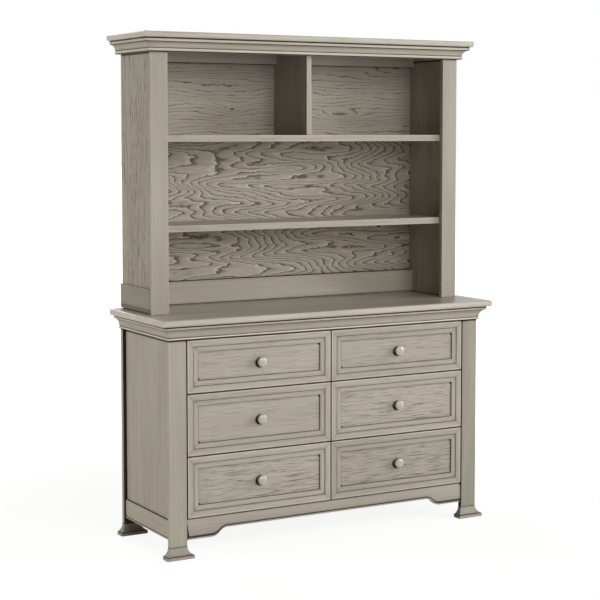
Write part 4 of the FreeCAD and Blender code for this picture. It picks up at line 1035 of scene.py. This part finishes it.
def build_hutch_frame():
    """Stiles, side boards with a plinth, header, and the rails in front of the back panel."""
    top = span("dresser_top")[1][Z]
    crown = span("crown_moulding")[0][Z]
    low, high = span("hutch_side_rails")
    plinth_low, plinth_high = low[Z], low[Z] + 0.089
    for seed, side in enumerate(SIDES):
        box = span("hutch_stile_" + side)
        make_piece("stile_" + side, [board(*box, Z, [(Z, top), (Z, crown), (Y, box[1][Y])], 151 + seed,
                                          (-0.06, 0.01)[seed])],
                   finishes("post ash"), "case", ["hutch_stile_" + side])
        panel_low, panel_high = span("hutch_side_" + side)
        # the band from the crown down to 4 mm below it takes the dark glaze colour: painted shadow under the crown
        joints = [(Y, panel_low[Y]), (Z, crown), (Z, crown - 0.004), (Z, top + 0.002)]
        wall = board(panel_low, panel_high, Z, joints, 155 + 3 * seed, -0.09)
        # the inner face has less figure and is a little darker: painted shade inside the hutch
        inside = np.abs(wall.points[:, X]) < np.abs((panel_low + panel_high)[X]) / 2.0
        wall.figure = np.where(inside, 0.35, 1.0)
        wall.tone = np.where(inside, wall.tone - 0.07, wall.tone)
        make_piece("hutch_wall_" + side, [wall], finishes("side panel ash"), "case", ["hutch_side_" + side])
    inner = span("hutch_side_right")[1][X]
    quirk_low, quirk_high, depth = plinth_low + 0.011, plinth_low + 0.0125, 0.0015
    outline = [(inner, plinth_low), (high[X], plinth_low), (high[X], quirk_low), (high[X] - depth, quirk_low),
               (high[X] - depth, quirk_high), (high[X], quirk_high), (high[X], quirk_high + REACH),
               (high[X], plinth_high - REACH), (high[X], plinth_high), (inner, plinth_high)]
    section = eased(outline, [0, 0.0012, 0.0008, 0, 0, 0.0005, 0, 0, 0.0012, 0])
    rim = np.abs(section[:, 1:] - np.array([[plinth_low, (quirk_low + quirk_high) / 2.0, plinth_high]]))
    rim = (rim + np.array([[0.0, 0.0, 0.0012]])).min(1)
    ys = [low[Y], low[Y] + REACH, high[Y]]
    plinth = carried(section, [(0, y, 0) for y in ys], [(1, 0, 0)] * 3, [(0, 0, 1)] * 3, rim, [0, REACH, REACH],
                     161, -0.30, 0.8)
    packing = board((inner, low[Y], crown), high, Y, seed=163)
    make_piece("hutch_plinths", [plinth, mirror_x(plinth), packing, mirror_x(packing)], finishes("rail ash"),
               "case", ["hutch_side_rails"])

    stile = span("hutch_stile_right")
    low, high = span("hutch_cross_rails")
    back = span("hutch_back")[0][Y]
    thick = 0.0215
    header = board((-stile[0][X], stile[0][Y], crown), (stile[0][X], stile[1][Y], stile[1][Z]), X, seed=165)
    # a band at its foot takes the dark glaze colour: painted shadow where it stands on the dresser top
    low_rail = board((low[X], back - thick, low[Z]), (high[X], back, low[Z] + 0.090), X,
                     [(Z, low[Z]), (Z, low[Z] + 0.0025), (Z, low[Z] + 0.090)], 166, -0.04, 1.0)
    high_rail = board((low[X], back - thick, high[Z] - 0.0725), (high[X], back, high[Z]), X,
                      [(Z, high[Z] - 0.0725)], 167, 0.24, 1.0)
    make_piece("hutch_rails", [header, low_rail, high_rail], finishes("rail ash"), "case",
               ["hutch_cross_rails"])


def build_hutch_back():
    """The figured back panel."""
    low, high = span("hutch_back")
    rail_low, rail_high = span("hutch_cross_rails")
    joints = [(X, low[X]), (X, high[X]), (Z, rail_low[Z] + 0.090), (Z, rail_high[Z] - 0.0725)]
    shelf_low, shelf_high = span("upper_shelf")
    sheet = board(low, high, X, joints, 0, 0.01, cuts=[(Z, shelf_low[Z]), (Z, shelf_high[Z])])
    sheet.figure = np.clip((shelf_high[Z] - sheet.points[:, Z]) / (shelf_high[Z] - shelf_low[Z]), 0.0, 1.0)
    make_piece("back_sheet", [sheet], finishes("back panel ash"), "case", ["hutch_back"])


def build_shelves():
    """Two shelves and the upright divider between them and the top."""
    back = span("hutch_back")[0][Y]
    for seed, name in enumerate(("lower_shelf", "upper_shelf")):
        low, high = span(name)
        make_piece(name + "_board", [board(low, high, X, [(Y, back)], 171 + seed, 0.0, 0.8)],
                   finishes("shelf ash"), "case", [name])
    low, high = span("shelf_divider")
    rail_front, rail_bottom = back - 0.0215, span("hutch_cross_rails")[1][Z] - 0.0725
    shells = [board(low, (high[X], rail_front, high[Z]), Z, [(Z, low[Z])], 175, 0.0, 0.8),
              board((low[X], rail_front, low[Z]), (high[X], high[Y], rail_bottom), Z, [(Z, low[Z])], 175)]
    # behind its front edge the divider is darker: painted shade on its sides inside the hutch
    for shell in shells:
        shell.tone = np.where(shell.points[:, Y] > low[Y] + 0.002, -0.20, shell.tone)
    make_piece("divider_board", shells, finishes("shelf ash"), "case", ["shelf_divider"])


def build_crown():
    """Top board of the hutch and the crown moulding under it."""
    size = sizes()
    low, high = span("hutch_top")
    stile = span("hutch_stile_right")
    half, front = stile[1][X], stile[0][Y]
    profile = top_profile(low[Z], high[Z], high[X] - half, size.hutch_lower, size.hutch_upper)
    # the underside of the top's edge takes the dark glaze colour: painted shadow under its overhang
    block = wrapped_block((-half, front), (half, high[Y]), profile, rim_heights=(low[Z],), seed=181,
                          tone=edge_tones(profile), figure=0.8)
    make_piece("hutch_top_board", [block], finishes("top ash"), "case", ["hutch_top"])
    bottom, top = span("crown_moulding")[0][Z], span("crown_moulding")[1][Z]
    outline = cornice_section(bottom, top, (0.013, 0.016), 0.013, (0.015, 0.0147, 0.034, 0.005), 0.036, 0.013,
                              0.0025, 2.4)
    cornice("crown_lengths", "crown_moulding", half, front, outline, 183)


# ---------------------------------------------------------------- stage

def white_to_the_eye(shader):
    """1 for rays from the camera, and for those that metal or glass sends on."""
    path = shader.node("ShaderNodeLightPath").outputs
    seen = shader.math("MAXIMUM", path["Is Camera Ray"], path["Is Glossy Ray"])
    return shader.math("MAXIMUM", seen, path["Is Transmission Ray"])


def build_floor():
    """Pale floor that keeps a faint shadow: to the eye mostly its own white, and a matt white under it."""
    reach = 60.0
    mesh = bpy.data.meshes.new("floor")
    mesh.from_pydata([(-reach, -reach, -0.0003), (reach, -reach, -0.0003), (reach, reach, -0.0003),
                      (-reach, reach, -0.0003)], [], [(0, 1, 2, 3)])
    floor = bpy.data.objects.new("floor", mesh)
    bpy.context.scene.collection.objects.link(floor)
    shader = new_shader("floor white")
    matt = shader.node("ShaderNodeBsdfDiffuse", {"Color": (0.80, 0.80, 0.80, 1.0)}).outputs[0]
    glow = shader.node("ShaderNodeEmission", {"Color": (1, 1, 1, 1), "Strength": 1.26}).outputs[0]
    place = shader.node("ShaderNodeTexCoord").outputs["Object"]
    away = shader.node("ShaderNodeVectorMath", {0: place}, operation="LENGTH").outputs["Value"]
    seen = shader.times(white_to_the_eye(shader), shader.ramp(away, 1.3, 2.6, 0.70, 1.0))
    surface = shader.node("ShaderNodeMixShader", {0: seen, 1: matt, 2: glow}).outputs[0]
    mesh.materials.append(shader.output(surface))


def build_world():
    """White to the eye, and a soft light from all sides."""
    world = bpy.data.worlds.new("surroundings")
    bpy.context.scene.world = world
    shader = Shader(world)
    strength = shader.ramp(white_to_the_eye(shader), 0.0, 1.0, stage().sky, 1.0)
    back = shader.node("ShaderNodeBackground", {"Color": (1, 1, 1, 1), "Strength": strength}).outputs[0]
    shader.output(back, "ShaderNodeOutputWorld")


def add_lamp(name, watts, heading, height, tint=(1.0, 1.0, 1.0)):
    """A soft square lamp that faces the middle of the dresser, from a heading (0 is the front, 90 the right)
    and a height in degrees."""
    middle = np.array([0.0, 0.0, 0.8])
    turn, rise = math.radians(heading), math.radians(height)
    way = np.array([math.cos(rise) * math.sin(turn), -math.cos(rise) * math.cos(turn), math.sin(rise)])
    lamp = bpy.data.lights.new(name, "AREA")
    lamp.shape, lamp.size, lamp.energy, lamp.color = "SQUARE", stage().spread, watts, tint
    made = bpy.data.objects.new(name, lamp)
    bpy.context.scene.collection.objects.link(made)
    made.location = middle + stage().far * way
    made.rotation_euler = (math.pi / 2.0 - rise, 0.0, turn)
    made.visible_camera = False


def build_camera():
    scene, look = bpy.context.scene, stage()
    data = bpy.data.cameras.new("camera")
    data.lens, data.sensor_width, data.shift_y = look.lens, 36.0, look.shift
    camera = bpy.data.objects.new("camera", data)
    scene.collection.objects.link(camera)
    camera.location = look.place
    camera.rotation_euler = Euler((math.pi / 2.0 - look.tilt, 0.0, -look.heading))
    scene.camera = camera


def build_stage():
    build_floor()
    build_world()
    add_lamp("front_lamp", stage().front, 0.0, 20.0)
    add_lamp("key_lamp", stage().key, 30.0, 20.0)
    add_lamp("right_lamp", stage().right, 60.0, 15.0)
    add_lamp("left_lamp", stage().left, -113.0, 15.0, tuple(stage().left_tint))
    add_lamp("back_lamp", stage().back, 180.0, 25.0)
    build_camera()
    bpy.context.scene.view_settings.view_transform = "Standard"


# ---------------------------------------------------------------- operators and panel

def operator(label, name, text, work):
    """An operator class that runs one building function."""
    def execute(self, context):
        work()
        return {"FINISHED"}

    members = {"bl_idname": "dresser." + name, "bl_label": label, "bl_options": {"REGISTER", "UNDO"},
               "__doc__": text, "execute": execute}
    return type("DRESSER_OT_" + name, (bpy.types.Operator,), members)


STEPS = [
    operator("Posts", "posts", "Make the front and back posts", build_posts),
    operator("Feet", "feet", "Make the four feet", build_feet),
    operator("Side frames", "side_frames", "Make the side panels and their rails", build_side_frames),
    operator("Apron", "apron", "Make the apron with its ogee edge", build_apron),
    operator("Dresser top", "dresser_top", "Make the top board and its moulding", build_dresser_top),
    operator("Inside of the case", "inside", "Make the cross rails and finish the inner pieces", build_inside),
    operator("Drawer fronts", "drawer_fronts", "Make the moulded drawer fronts", build_drawer_fronts),
    operator("Knobs", "knobs", "Make the knobs and their screws", build_knobs),
    operator("Drawer boxes", "drawer_boxes", "Make the drawer boxes", build_drawer_boxes),
    operator("Slides", "slides", "Finish the drawer slides", build_slides),
    operator("Hutch frame", "hutch_frame", "Make the stiles, walls, plinths and rails", build_hutch_frame),
    operator("Hutch back", "hutch_back", "Make the figured back panel", build_hutch_back),
    operator("Shelves", "shelves", "Make the shelves and the divider", build_shelves),
    operator("Crown", "crown", "Make the hutch top and its crown moulding", build_crown),
    operator("Stage", "stage", "Make the floor, the light and the camera", build_stage),
]


class DRESSER_PT_pieces(bpy.types.Panel):
    """Lists the pieces of the dresser and the sizes and colours that they use."""
    bl_label = "Dresser with hutch"
    bl_idname = "DRESSER_PT_pieces"
    bl_space_type = "VIEW_3D"
    bl_region_type = "UI"
    bl_category = "Dresser"

    def draw(self, context):
        for step in STEPS:
            self.layout.operator(step.bl_idname)
        for group in (context.scene.dresser_sizes, context.scene.dresser_finish, context.scene.dresser_stage):
            box = self.layout.box()
            for name in group.bl_rna.properties.keys():
                if name not in ("rna_type", "name"):
                    box.prop(group, name)


CLASSES = [DresserSizes, DresserFinish, DresserStage, *STEPS, DRESSER_PT_pieces]


def register():
    for made in CLASSES:
        bpy.utils.register_class(made)
    bpy.types.Scene.dresser_sizes = PointerProperty(type=DresserSizes)
    bpy.types.Scene.dresser_finish = PointerProperty(type=DresserFinish)
    bpy.types.Scene.dresser_stage = PointerProperty(type=DresserStage)


def unregister():
    del bpy.types.Scene.dresser_sizes, bpy.types.Scene.dresser_finish, bpy.types.Scene.dresser_stage
    for made in reversed(CLASSES):
        bpy.utils.unregister_class(made)


def main():
    register()
    for step in STEPS:
        group, name = step.bl_idname.split(".")
        getattr(getattr(bpy.ops, group), name)()


if __name__ == "__main__":
    main()
